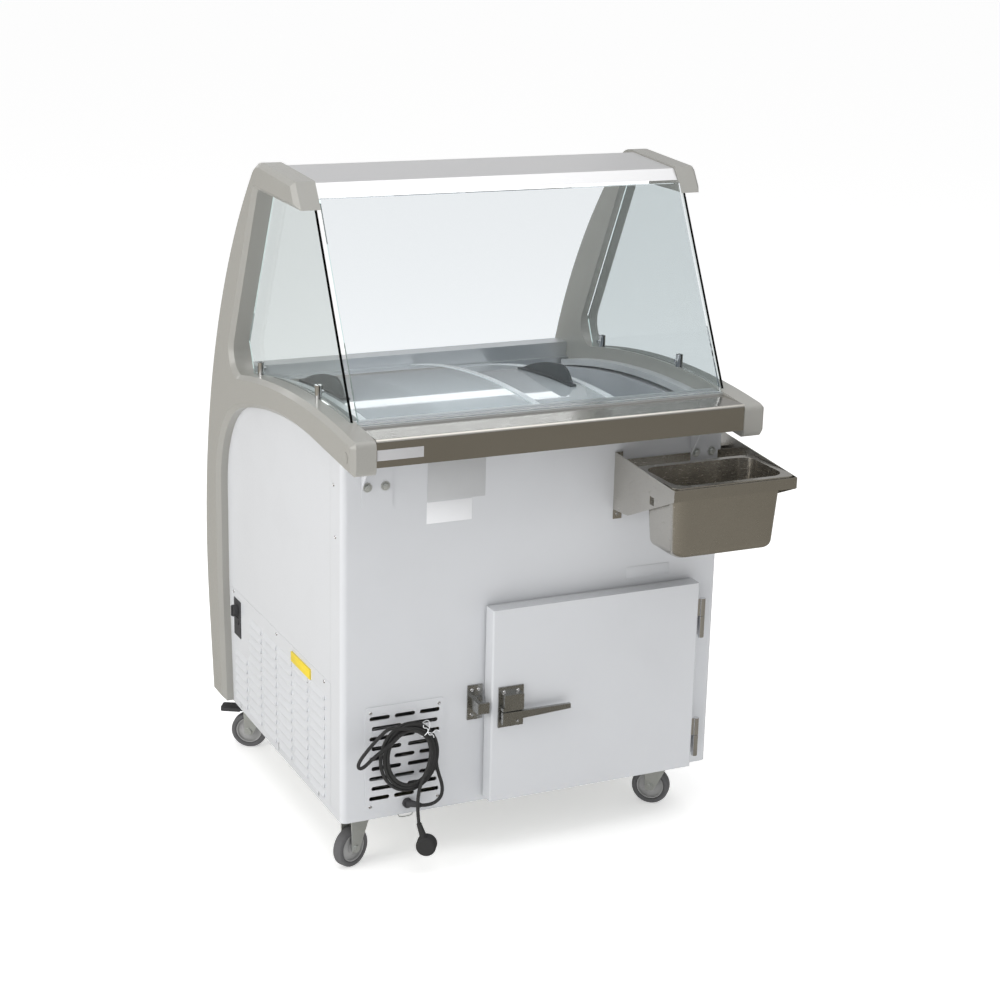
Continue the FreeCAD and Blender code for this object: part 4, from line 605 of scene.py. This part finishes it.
def side_pane_glass():
    """Glass of the two side panes; their tint is darker than the front pane's, painted shade on the same glass."""
    # Clear colour darker than the front pane's: painted shade.
    return pane_glass("side_pane_glass", (1.0, 0.0, 0.0), (0.70, 0.745, 0.745))


def lid_pane_glass():
    """Glass of the sliding lids, faintly milky."""
    found = bpy.data.materials.get("lid_pane_glass")
    if found:
        return found
    material, tree, shader = shader_of("lid_pane_glass")
    grain = add_grain(tree, Scale=9.0, Low=0.02, High=0.06)
    tree.links.new(grain.outputs["Roughness"], shader.inputs["Roughness"])
    shader.inputs["Base Color"].default_value = (0.90, 0.91, 0.925, 1.0)
    shader.inputs["IOR"].default_value = 1.5
    shader.inputs["Transmission Weight"].default_value = 0.72
    let_lamps_through(tree, shader, (0.85, 0.89, 0.91))
    return material


def lid_trim_plastic():
    """White, slightly see-through trim of the lids."""
    return finish_of("lid_trim_plastic", (0.86, 0.88, 0.90), (0.78, 0.80, 0.82), 0.24, 0.36, scale=300.0,
                     bump=0.03, marks=0.3, coat=0.2)


def lamp_diffuser():
    """Opal diffuser of the lamp, lit."""
    found = bpy.data.materials.get("lamp_diffuser")
    if found:
        return found
    material, tree, shader = shader_of("lamp_diffuser")
    grain = add_grain(tree)
    tree.links.new(grain.outputs["Roughness"], shader.inputs["Roughness"])
    shader.inputs["Base Color"].default_value = (0.9, 0.92, 0.95, 1.0)
    shader.inputs["Emission Color"].default_value = (0.95, 0.98, 1.0, 1.0)
    shader.inputs["Emission Strength"].default_value = bpy.context.scene.freezer_cabinet.lamp_strength
    return material


# --------------------------------------------------------------------- stage
FLOOR_GLOW = 0.42
# Painted reflection: the dark colour the floor shows only in reflections on polished metal.
FLOOR_PAINTED_REFLECTION = (0.29, 0.27, 0.23)
# name, place, the point it is aimed at, size, power and colour
LAMPS = (
    ("top_box", (0.0, -0.4, 4.2), (0, 0, 0), (4.5, 4.5), 66.0, (1.0, 1.0, 1.0)),
    ("left_box", (-4.4, -0.9, 2.0), (0, 0, 0.7), (2.6, 3.2), 84.0, (1.0, 0.985, 0.96)),
    ("front_box", (1.2, -4.6, 2.4), (0, 0, 0.7), (2.0, 2.0), 4.0, (0.95, 0.97, 1.0)),
    ("rear_strip", (0.0, 2.6, 1.72), (0, 0.15, 0.90), (3.4, 0.16), 4.0, (1.0, 1.0, 1.0)),
)


class OBJECT_OT_freezer_stage(bpy.types.Operator):
    """Camera, pale floor and soft light"""
    bl_idname = "object.freezer_stage"
    bl_label = "Stage"

    def camera(self, settings):
        """The camera at its place, turn, dip and roll."""
        turn, dip, roll = settings.camera_turn, settings.camera_dip, settings.camera_roll
        ahead = Vector((math.sin(turn) * math.cos(dip), math.cos(turn) * math.cos(dip), -math.sin(dip)))
        right = Vector((math.cos(turn), -math.sin(turn), 0))
        up = right.cross(ahead)
        side = right * math.cos(roll) + up * math.sin(roll)
        top = up * math.cos(roll) - right * math.sin(roll)
        data = bpy.data.cameras.new("camera")
        data.lens = settings.lens
        data.sensor_width = 36.0
        data.clip_end = 100.0
        camera = bpy.data.objects.new("camera", data)
        bpy.context.scene.collection.objects.link(camera)
        turned = Matrix((side, top, -ahead)).transposed().to_4x4()
        camera.matrix_world = Matrix.Translation(settings.camera_place) @ turned
        bpy.context.scene.camera = camera

    def floor(self, size):
        """Plain pale floor; in polished metal it reflects as a dark painted colour, a painted reflection."""
        clear_choice()
        bpy.ops.mesh.primitive_plane_add(size=size)
        floor = bpy.context.object
        floor.name = "floor"
        material, tree, shader = shader_of("pale_floor")
        shader.inputs["Base Color"].default_value = (0.93, 0.93, 0.93, 1.0)
        shader.inputs["Roughness"].default_value = 0.9
        shader.inputs["Specular IOR Level"].default_value = 0.1
        shader.inputs["Emission Color"].default_value = (1.0, 1.0, 1.0, 1.0)
        shader.inputs["Emission Strength"].default_value = FLOOR_GLOW
        # Dark colour seen only by reflection rays: a painted reflection, not the floor's own colour.
        dark = tree.nodes.new("ShaderNodeBsdfDiffuse")
        dark.inputs["Color"].default_value = (*FLOOR_PAINTED_REFLECTION, 1.0)
        path = tree.nodes.new("ShaderNodeLightPath")
        mix = tree.nodes.new("ShaderNodeMixShader")
        direct = tree.nodes.new("ShaderNodeMath")
        direct.operation = "SUBTRACT"
        direct.use_clamp = True
        tree.links.new(path.outputs["Is Glossy Ray"], direct.inputs[0])
        tree.links.new(path.outputs["Is Transmission Ray"], direct.inputs[1])
        tree.links.new(direct.outputs["Value"], mix.inputs["Fac"])
        tree.links.new(shader.outputs["BSDF"], mix.inputs[1])
        tree.links.new(dark.outputs["BSDF"], mix.inputs[2])
        tree.links.new(mix.outputs["Shader"], tree.nodes["Material Output"].inputs["Surface"])
        floor.data.materials.append(material)

    def lamp(self, name, place, target, size, power, colour):
        """One soft box aimed at a point."""
        data = bpy.data.lights.new(name, "AREA")
        data.shape = "RECTANGLE"
        data.size, data.size_y = size
        data.energy = power
        data.color = colour
        lamp = bpy.data.objects.new(name, data)
        bpy.context.scene.collection.objects.link(lamp)
        lamp.location = place
        lamp.rotation_euler = (Vector(target) - Vector(place)).to_track_quat("-Z", "Y").to_euler()

    def sky(self, settings):
        """White overhead, greyer towards the horizon."""
        world = bpy.data.worlds.new("studio")
        world.use_nodes = True
        tree = world.node_tree
        place = tree.nodes.new("ShaderNodeTexCoord")
        parts = tree.nodes.new("ShaderNodeSeparateXYZ")
        spread = tree.nodes.new("ShaderNodeMapRange")
        spread.inputs["From Min"].default_value = 0.05
        spread.inputs["From Max"].default_value = 0.75
        spread.inputs["To Min"].default_value = settings.horizon * settings.sky_strength
        spread.inputs["To Max"].default_value = settings.sky_strength
        tree.links.new(place.outputs["Generated"], parts.inputs["Vector"])
        tree.links.new(parts.outputs["Z"], spread.inputs["Value"])
        tree.links.new(spread.outputs["Result"], tree.nodes["Background"].inputs["Strength"])
        tree.nodes["Background"].inputs["Color"].default_value = (1.0, 1.0, 1.0, 1.0)
        return world

    def execute(self, context):
        settings = context.scene.freezer_stage
        self.camera(settings)
        self.floor(settings.floor_size)
        for lamp in LAMPS:
            self.lamp(*lamp)
        context.scene.world = self.sky(settings)
        context.scene.view_settings.view_transform = "Standard"
        return {"FINISHED"}


# ---------------------------------------------------------------------- cord
EXIT = (-0.252, -0.298, 0.139)
TO_COIL = [EXIT, (-0.232, -0.316, 0.143), (-0.208, -0.314, 0.168)]
COIL_MIDDLE = Vector((-0.280, -0.304, 0.244))
TIE_ANGLE = math.radians(58.0)
TIE_REACH = 0.002
TIE_RADIUS = 0.0165
TIE_THICKNESS = 0.0009
TIE_END_RADIUS = 0.0008
TIE_ENDS = ((-0.010, 0.016), (0.012, -0.014), (0.024, -0.003))
TIE_PLACES = [(0.006, 0.008), (0.006, -0.0005), (-0.0015, 0.004), (-0.0015, -0.0045)]
COIL_START = math.radians(-20.0)
COIL_END = math.radians(80.0 + 3 * 360.0)
FREE_RADII = [0.0630, 0.0535, 0.0455, 0.0385]
FREE_SHIFTS = [0.0, 0.006, -0.004, 0.004]
STRAY_LOOP = [
    (-0.296, -0.312, 0.312), (-0.326, -0.316, 0.324), (-0.358, -0.317, 0.298), (-0.394, -0.317, 0.258),
    (-0.386, -0.317, 0.243), (-0.354, -0.317, 0.270), (-0.322, -0.312, 0.284),
]
OVER_TOP = [
    (-0.298, -0.309, 0.304), (-0.272, -0.312, 0.308), (-0.248, -0.315, 0.292), (-0.238, -0.316, 0.262),
    (-0.244, -0.315, 0.226), (-0.256, -0.313, 0.200),
]
TO_PLUG = [(-0.262, -0.312, 0.180), (-0.267, -0.315, 0.146), (-0.264, -0.318, 0.111)]


def ease(value):
    """Smooth step from 0 to 1."""
    value = min(max(value, 0.0), 1.0)
    return value * value * (3 - 2 * value)


def between(values, place):
    """A value read between the entries of a list."""
    low = min(int(place), len(values) - 1)
    high = min(low + 1, len(values) - 1)
    return values[low] * (1 - (place - low)) + values[high] * (place - low)


def coil_point(angle, settings):
    """Centre of the cord at an angle along the coil, counted from its first turn."""
    since_tie = (angle - TIE_ANGLE) / (2 * math.pi)
    turn = math.floor(since_tie + 0.5)
    offset = since_tie - turn
    place = min(max(turn + ease(offset * 2 + 0.5) - 0.5, 0.0), len(FREE_RADII) - 1.0)
    tied = 0.5 + 0.5 * math.cos(angle - TIE_ANGLE)
    reach = between([spot[0] for spot in TIE_PLACES], place)
    depth = between([spot[1] for spot in TIE_PLACES], place)
    radius = tied * (settings.coil_radius + reach) + (1 - tied) * between(FREE_RADII, place)
    return COIL_MIDDLE + Vector((
        radius * math.cos(angle), depth,
        (radius + settings.coil_stretch) * math.sin(angle) + (1 - tied) * between(FREE_SHIFTS, place)))


def cord_points(settings):
    """The whole route: gland, coil, stray loop, and down to the plug."""
    points = [Vector(point) for point in TO_COIL]
    span = COIL_END - COIL_START
    count = round(span / (2 * math.pi) * settings.turn_points)
    for index in range(count + 1):
        points.append(coil_point(COIL_START + span * index / count, settings))
    return points + [Vector(point) for point in STRAY_LOOP + OVER_TOP + TO_PLUG]


class OBJECT_OT_freezer_cord(bpy.types.Operator):
    """Mains cord in a tied coil, with its plug and twist tie"""
    bl_idname = "object.freezer_cord"
    bl_label = "Mains Cord"

    def cord(self, settings):
        """The cord as one smooth curve."""
        cord = round_wire("mains_cord", cord_points(settings), settings.diameter / 2)
        cord.data.bevel_resolution = 4
        cord.data.resolution_u = 6
        cord.data.use_fill_caps = True
        return cord

    def twist_tie(self, settings):
        """Thin white tie round the bundle, with its twisted ends in front."""
        middle = COIL_MIDDLE + Vector((
            (settings.coil_radius + TIE_REACH) * math.cos(TIE_ANGLE), 0,
            (settings.coil_radius + TIE_REACH + settings.coil_stretch) * math.sin(TIE_ANGLE)))
        along = Vector((-math.sin(TIE_ANGLE), 0, math.cos(TIE_ANGLE)))
        clear_choice()
        bpy.ops.mesh.primitive_torus_add(major_radius=TIE_RADIUS, minor_radius=TIE_THICKNESS,
                                         major_segments=40, minor_segments=8)
        loop = bpy.context.object
        loop.data.transform(Matrix.Translation(middle) @ face_along(along))
        ends = []
        front = middle + Vector((0, -TIE_RADIUS, 0))
        for sideways, rise in TIE_ENDS:
            reach = Vector((sideways, -0.002, rise))
            bend = Vector((rise, -0.004, -sideways)) * 0.25
            places = (front, front + reach * 0.35 + bend, front + reach * 0.7 - bend, front + reach)
            ends.append(to_mesh(round_wire("tie_end", places, TIE_END_RADIUS)))
        tie = smooth(join("twist_tie", [loop] + ends))
        return finish_piece(tie, "cabinet", lid_trim_plastic())

    def execute(self, context):
        settings = context.scene.freezer_cord
        cord = self.cord(settings)
        finish_piece(cord, "cabinet", cord_rubber(), ("cord_tube", "cord_coil"))
        self.twist_tie(settings)
        return {"FINISHED"}


# -------------------------------------------------------------- part finishes
SLOT_FINISHES = {
    "white_sheet": powder_coat,
    "zinc_steel": zinc_plate,
    "foam": insulating_foam,
    "aluminium_liner": tank_aluminium,
    "liner_plastic": liner_plastic,
    "copper": drawn_copper,
    "frame_plastic": frame_gloss,
    "inner_grey": inner_grey,
    "stainless": brushed_stainless,
    "rail_aluminium": rail_aluminium,
    "clear_glass": side_pane_glass,
    "lid_glass": lid_pane_glass,
    "white_trim": lid_trim_plastic,
    "charcoal_plastic": charcoal_plastic,
    "chrome_trim": polished_chrome,
    "satin_aluminium": satin_aluminium,
    "lamp": lamp_diffuser,
    "black_steel": black_steel,
    "black_plastic": black_plastic,
    "cord_rubber": cord_rubber,
    "gasket_rubber": gasket_rubber,
    "tyre_rubber": tyre_rubber,
}
NODE_FINISHES = {
    "front_glass": front_pane_glass,
    "gn_pan": formed_stainless,
    "pan_bracket": formed_stainless,
    "latch_body": satin_chrome,
    "latch_lever": satin_chrome,
    "latch_strike": satin_chrome,
}


class OBJECT_OT_freezer_finishes(bpy.types.Operator):
    """Finishes on every carried-over part"""
    bl_idname = "object.freezer_finishes"
    bl_label = "Part Finishes"

    def execute(self, context):
        slots = {part["node"]: part["material_slot"] for part in frame["record"]["subparts"]}
        for name, node in NODES.items():
            make = NODE_FINISHES.get(name) or SLOT_FINISHES[slots[name]]
            material = make()
            if not node.data.materials:
                node.data.materials.append(material)
            for holder in node.material_slots:
                holder.material = material
            smooth(node, 30.0)
        return {"FINISHED"}


# ------------------------------------------------------------------- handles
HANDLE_MERGE = 0.00002
HANDLE_ROUNDING = 0.0011


class OBJECT_OT_freezer_handles(bpy.types.Operator):
    """Fin handles on the lids, with moulded edges"""
    bl_idname = "object.freezer_handles"
    bl_label = "Lid Handles"

    def handle(self, name, node, body):
        """One fin on its foot, merged into clean faces with its edges rounded as moulded."""
        piece = copy_to(NODES[node], Matrix.Identity(4))
        piece.name = name
        edit(piece)
        bpy.ops.mesh.select_all(action="SELECT")
        bpy.ops.mesh.remove_doubles(threshold=HANDLE_MERGE)
        bpy.ops.mesh.dissolve_limited(angle_limit=math.radians(1.0))
        leave(piece)
        round_over(piece, HANDLE_ROUNDING, 3, 50.0)
        return finish_piece(smooth(piece, 50.0), body, charcoal_plastic(), (node,))

    def execute(self, context):
        self.handle("left_lid_fin", "upper_lid_handle", "upper_lid")
        self.handle("right_lid_fin", "lower_lid_handle", "lower_lid")
        return {"FINISHED"}


# ------------------------------------------------------------------- casters
TYRE_WIDTH = 0.022
TYRE_THICKNESS = 0.011
TYRE_ROUNDING = 0.0045
CENTRE_CLEARANCE = 0.0112
CENTRE_WIDTH = TYRE_WIDTH - 0.003
CENTRE_LIP = 0.0022
CENTRE_DISH = 0.0055
CENTRE_RING = 0.0150
CENTRE_HUB = 0.0050
CENTRE_ROUNDING = 0.0007


class OBJECT_OT_freezer_wheels(bpy.types.Operator):
    """Caster wheels: round-shouldered tyres on dished centres"""
    bl_idname = "object.freezer_wheels"
    bl_label = "Caster Wheels"

    def wheel(self, corner):
        """The tyre and the dished centre of one caster."""
        joint = JOINTS["roll_" + corner]
        low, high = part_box("wheel_" + corner)
        radius = (high.z - low.z) / 2
        place = Matrix.Translation(joint["pos_m"]) @ face_along(joint["axis"])
        tyre = disc("tyre_" + corner, radius, TYRE_WIDTH, 64)
        edit(tyre)
        choose(tyre, "FACE", lambda spot, normal: abs(normal.z) > 0.9)
        bpy.ops.mesh.inset(thickness=TYRE_THICKNESS)
        bpy.ops.mesh.delete(type="FACE")
        bore = radius - 0.009
        choose(tyre, "EDGE", lambda spot, along: spot.xy.length < bore and abs(along.z) < 1e-6)
        bpy.ops.mesh.bridge_edge_loops()
        bpy.ops.mesh.select_all(action="SELECT")
        bpy.ops.mesh.normals_make_consistent(inside=False)
        leave(tyre)
        round_over(tyre, TYRE_ROUNDING, 4)
        tyre.data.transform(place)
        smooth(tyre, 50.0)
        finish_piece(tyre, "wheel_" + corner, tyre_rubber(), ("wheel_" + corner,))
        centre = disc("wheel_centre_" + corner, radius - CENTRE_CLEARANCE, CENTRE_WIDTH, 64)
        edit(centre)
        for end in (-1, 1):
            choose(centre, "FACE", lambda spot, normal: normal.z * end > 0.9)
            for inset, rise in ((CENTRE_LIP, -CENTRE_DISH), (CENTRE_RING, CENTRE_HUB)):
                bpy.ops.mesh.inset(thickness=inset)
                bpy.ops.mesh.extrude_region_move(TRANSFORM_OT_translate={"value": (0, 0, end * rise)})
        leave(centre)
        round_over(centre, CENTRE_ROUNDING, 2)
        centre.data.transform(place)
        smooth(centre, 40.0)
        finish_piece(centre, "wheel_" + corner, wheel_plastic())

    def execute(self, context):
        for corner in ("front_left", "front_right", "rear_left", "rear_right"):
            self.wheel(corner)
        return {"FINISHED"}


# ------------------------------------------------------------------- fittings
CABINET_SIDE_SCREWS = ((0.042, 0.792), (0.033, 0.692))
VENT_SCREW_INSET = 0.0115
LOUVRE_SCREW_DROP = 0.008
LEDGE_BOLT_PLACES = (-0.3585, -0.3225, 0.3445, 0.3805)
LEDGE_BOLT_HEIGHT = 0.793
BRACKET_SHEET = 0.002
DOOR_PLATE = 0.003
PAN_BRACKET_SHEET = 0.0015
HINGE_FEET = (0.146, 0.408)
HINGE_SCREW_RISES = (0.010, 0.036)
HOOK_RADIUS = 0.0012
HOOK_DEPTH = 0.003
LABEL_THICKNESS = 0.0004
BADGE_THICKNESS = 0.0008


class OBJECT_OT_freezer_fasteners(bpy.types.Operator):
    """Screws and bolts on the panels, brackets and latch"""
    bl_idname = "object.freezer_fasteners"
    bl_label = "Screws and Bolts"

    def head(self, radius):
        """One pan head on the Z axis with a shallow recess in its top."""
        clear_choice()
        bpy.ops.mesh.primitive_uv_sphere_add(segments=20, ring_count=12, radius=radius)
        head = bpy.context.object
        edit(head)
        bpy.ops.mesh.select_all(action="SELECT")
        bpy.ops.mesh.bisect(plane_co=(0, 0, 0), plane_no=(0, 0, 1), clear_inner=True, use_fill=True)
        bpy.ops.mesh.select_all(action="SELECT")
        bpy.ops.transform.resize(value=(1, 1, 0.55), center_override=(0, 0, 0))
        choose(head, "VERT", lambda spot, _: spot.xy.length < radius * 0.34 and spot.z > 0)
        bpy.ops.transform.resize(value=(0.8, 0.8, 0.30), center_override=(0, 0, 0))
        return smooth(leave(head), 50.0)

    def hex_head(self, radius):
        """One hexagon head on a washer."""
        bolt = disc("bolt", radius, 0.004, 6)
        bolt.data.transform(Matrix.Translation((0, 0, 0.003)))
        round_over(bolt, 0.0006, 2)
        washer = disc("washer", radius * 1.45, 0.001, 32)
        washer.data.transform(Matrix.Translation((0, 0, 0.0005)))
        return smooth(join("bolt", [bolt, washer]), 30.0)

    def spread(self, name, head, places, direction, body, slot, material):
        """Copies of a head at places, facing a direction, as one piece."""
        turn = face_along(direction)
        copies = [copy_to(head, Matrix.Translation(place) @ turn) for place in places]
        piece = join(name, copies)
        return finish_piece(piece, body, material)

    def screws(self, name, head, places, direction, body="cabinet"):
        """Bright screws at places, as one piece."""
        return self.spread(name, head, places, direction, body, "chrome_trim", polished_chrome())

    def execute(self, context):
        settings = context.scene.freezer_cabinet
        head = self.head(settings.screw_radius)
        bolt = self.hex_head(settings.bolt_radius)
        forward, left, right = (0, -1, 0), (-1, 0, 0), (1, 0, 0)
        low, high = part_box("vent_panel")
        inset = VENT_SCREW_INSET
        places = [(x, low.y, z) for x in (low.x + inset, high.x - inset)
                  for z in (low.z + inset, high.z - inset)]
        self.screws("vent_screws", head, places, forward)
        low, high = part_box("louvre_panel")
        places = [(SIDE_X, y, high.z - LOUVRE_SCREW_DROP)
                  for y in (low.y + 0.035, low.y + 0.316, high.y - 0.016)]
        places += [(SIDE_X, FACE_Y + back, z) for back, z in CABINET_SIDE_SCREWS]
        self.screws("side_screws", head, places, left)
        places = [(-SIDE_X, FACE_Y + back, z) for back, z in CABINET_SIDE_SCREWS]
        self.screws("right_side_screws", head, places, right)
        places = [(x, FACE_Y - BRACKET_SHEET, LEDGE_BOLT_HEIGHT) for x in LEDGE_BOLT_PLACES]
        self.spread("ledge_bolts", bolt, places, forward, "cabinet", "chrome_trim", zinc_plate())
        low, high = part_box("latch_body")
        plate_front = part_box("store_door")[0].y - DOOR_PLATE
        places = [(x, plate_front, z) for x in (low.x + 0.012, high.x - 0.012)
                  for z in (high.z - 0.010, low.z + 0.008)]
        self.screws("latch_screws", head, places, forward, "door")
        low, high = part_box("latch_strike")
        plate_front = FACE_Y - DOOR_PLATE
        places = [(x, plate_front, high.z - 0.010) for x in (low.x + 0.009, high.x - 0.009)]
        places.append((low.x + 0.009, plate_front, low.z + 0.010))
        self.screws("strike_screws", head, places, forward)
        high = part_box("hinge_posts")[1]
        places = [(high.x - 0.008, plate_front, foot + rise)
                  for foot in HINGE_FEET for rise in HINGE_SCREW_RISES]
        self.screws("hinge_screws", head, places, forward)
        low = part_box("pan_bracket")[0]
        places = [(low.x + 0.009, FACE_Y - PAN_BRACKET_SHEET, low.z + 0.010)]
        self.screws("bracket_screw", head, places, forward)
        for blank in (head, bolt):
            bpy.data.objects.remove(blank)
        return {"FINISHED"}


class OBJECT_OT_freezer_plates(bpy.types.Operator):
    """Blank badge, labels, frame plugs and the wire hook under the front"""
    bl_idname = "object.freezer_plates"
    bl_label = "Badge and Labels"

    def plate(self, name, low, high, slot, material, rounding=0.0004):
        """A thin plate with softened edges."""
        piece = block(name, low, high)
        round_over(piece, rounding, 2)
        smooth(piece, 40.0)
        return finish_piece(piece, "cabinet", material)

    def nose_plugs(self):
        """Round screw covers on the outer faces of the frames."""
        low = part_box("side_frame_left")[0]
        for name, x, way in (("left_plug", low.x, -1), ("right_plug", -low.x, 1)):
            cap = disc(name, 0.011, 0.0012, 40)
            edit(cap)
            choose(cap, "FACE", lambda spot, normal: normal.z > 0.9)
            bpy.ops.mesh.inset(thickness=0.0022)
            bpy.ops.transform.translate(value=(0, 0, -0.0005))
            leave(cap)
            cap.data.transform(Matrix.Translation((x + way * 0.0004, low.y + 0.030, 0.878))
                               @ face_along((way, 0, 0)))
            smooth(cap, 30.0)
            finish_piece(cap, "cabinet", frame_gloss())

    def wire_hook(self):
        """Bent wire under the front edge, below the vent."""
        left, right, top, foot = -0.288, -0.258, 0.116, 0.1075
        route = [(left - 0.004, top), (left, top - 0.002), (left + 0.002, foot), (right - 0.004, foot),
                 (right, foot + 0.004), (right + 0.001, top)]
        places = [(x, FACE_Y + HOOK_DEPTH, z) for x, z in route]
        hook = smooth(to_mesh(round_wire("wire_hook", places, HOOK_RADIUS)))
        finish_piece(hook, "cabinet", zinc_plate())

    def execute(self, context):
        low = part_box("front_ledge")[0]
        badge = blank_label("badge_foil", (0.50, 0.50, 0.51))
        self.plate("badge", (low.x + 0.001, low.y - BADGE_THICKNESS, 0.875),
                   (low.x + 0.092, low.y, 0.895), "satin_aluminium", badge)
        silver = blank_label("label_foil", (0.52, 0.53, 0.54))
        paper = blank_label("label_paper", (0.86, 0.87, 0.89))
        yellow = blank_label("label_yellow", (0.86, 0.66, 0.03))
        self.plate("rating_label", (-0.2365, FACE_Y - LABEL_THICKNESS, 0.752), (-0.1165, FACE_Y, 0.861),
                   "white_sheet", silver, 0.0001)
        self.plate("small_label", (-0.2375, FACE_Y - LABEL_THICKNESS, 0.708), (-0.1435, FACE_Y, 0.7505),
                   "white_sheet", paper, 0.0001)
        self.plate("pressed_strip", (0.1995, FACE_Y - BADGE_THICKNESS, 0.545), (0.2955, FACE_Y, 0.568),
                   "white_sheet", powder_coat(), 0.0003)
        self.plate("side_label", (SIDE_X - 0.0031, -0.104, 0.354), (SIDE_X, 0.007, 0.375),
                   "white_sheet", yellow, 0.0001)
        self.nose_plugs()
        self.wire_hook()
        return {"FINISHED"}


# ------------------------------------------------------------------ interface
class VIEW3D_PT_freezer(bpy.types.Panel):
    """Sizes, colours and steps of the freezer"""
    bl_idname = "VIEW3D_PT_freezer"
    bl_label = "Ice Cream Freezer"
    bl_space_type = "VIEW_3D"
    bl_region_type = "UI"
    bl_category = "Freezer"

    def draw(self, context):
        layout = self.layout
        for holder in SETTINGS:
            box = layout.box()
            settings = getattr(context.scene, holder)
            for name in settings.bl_rna.properties.keys():
                if name not in {"rna_type", "name"}:
                    box.prop(settings, name)
        for step in STEPS:
            layout.operator(step.bl_idname)


SETTINGS = {
    "freezer_stage": StageSettings,
    "freezer_cord": CordSettings,
    "freezer_cabinet": CabinetSettings,
}
STEPS = (
    OBJECT_OT_freezer_stage,
    OBJECT_OT_freezer_finishes,
    OBJECT_OT_freezer_cord,
    OBJECT_OT_freezer_handles,
    OBJECT_OT_freezer_wheels,
    OBJECT_OT_freezer_fasteners,
    OBJECT_OT_freezer_plates,
)


def register():
    """Register the settings, the steps and the panel."""
    for holder, settings in SETTINGS.items():
        bpy.utils.register_class(settings)
        setattr(bpy.types.Scene, holder, bpy.props.PointerProperty(type=settings))
    for step in STEPS:
        bpy.utils.register_class(step)
    bpy.utils.register_class(VIEW3D_PT_freezer)


def unregister():
    """Undo what register does."""
    bpy.utils.unregister_class(VIEW3D_PT_freezer)
    for step in reversed(STEPS):
        bpy.utils.unregister_class(step)
    for holder, settings in SETTINGS.items():
        delattr(bpy.types.Scene, holder)
        bpy.utils.unregister_class(settings)


def main():
    """Build every piece in order."""
    register()
    bpy.ops.object.freezer_stage()
    bpy.ops.object.freezer_finishes()
    bpy.ops.object.freezer_cord()
    bpy.ops.object.freezer_handles()
    bpy.ops.object.freezer_wheels()
    bpy.ops.object.freezer_fasteners()
    bpy.ops.object.freezer_plates()


if __name__ == "__main__":
    main()
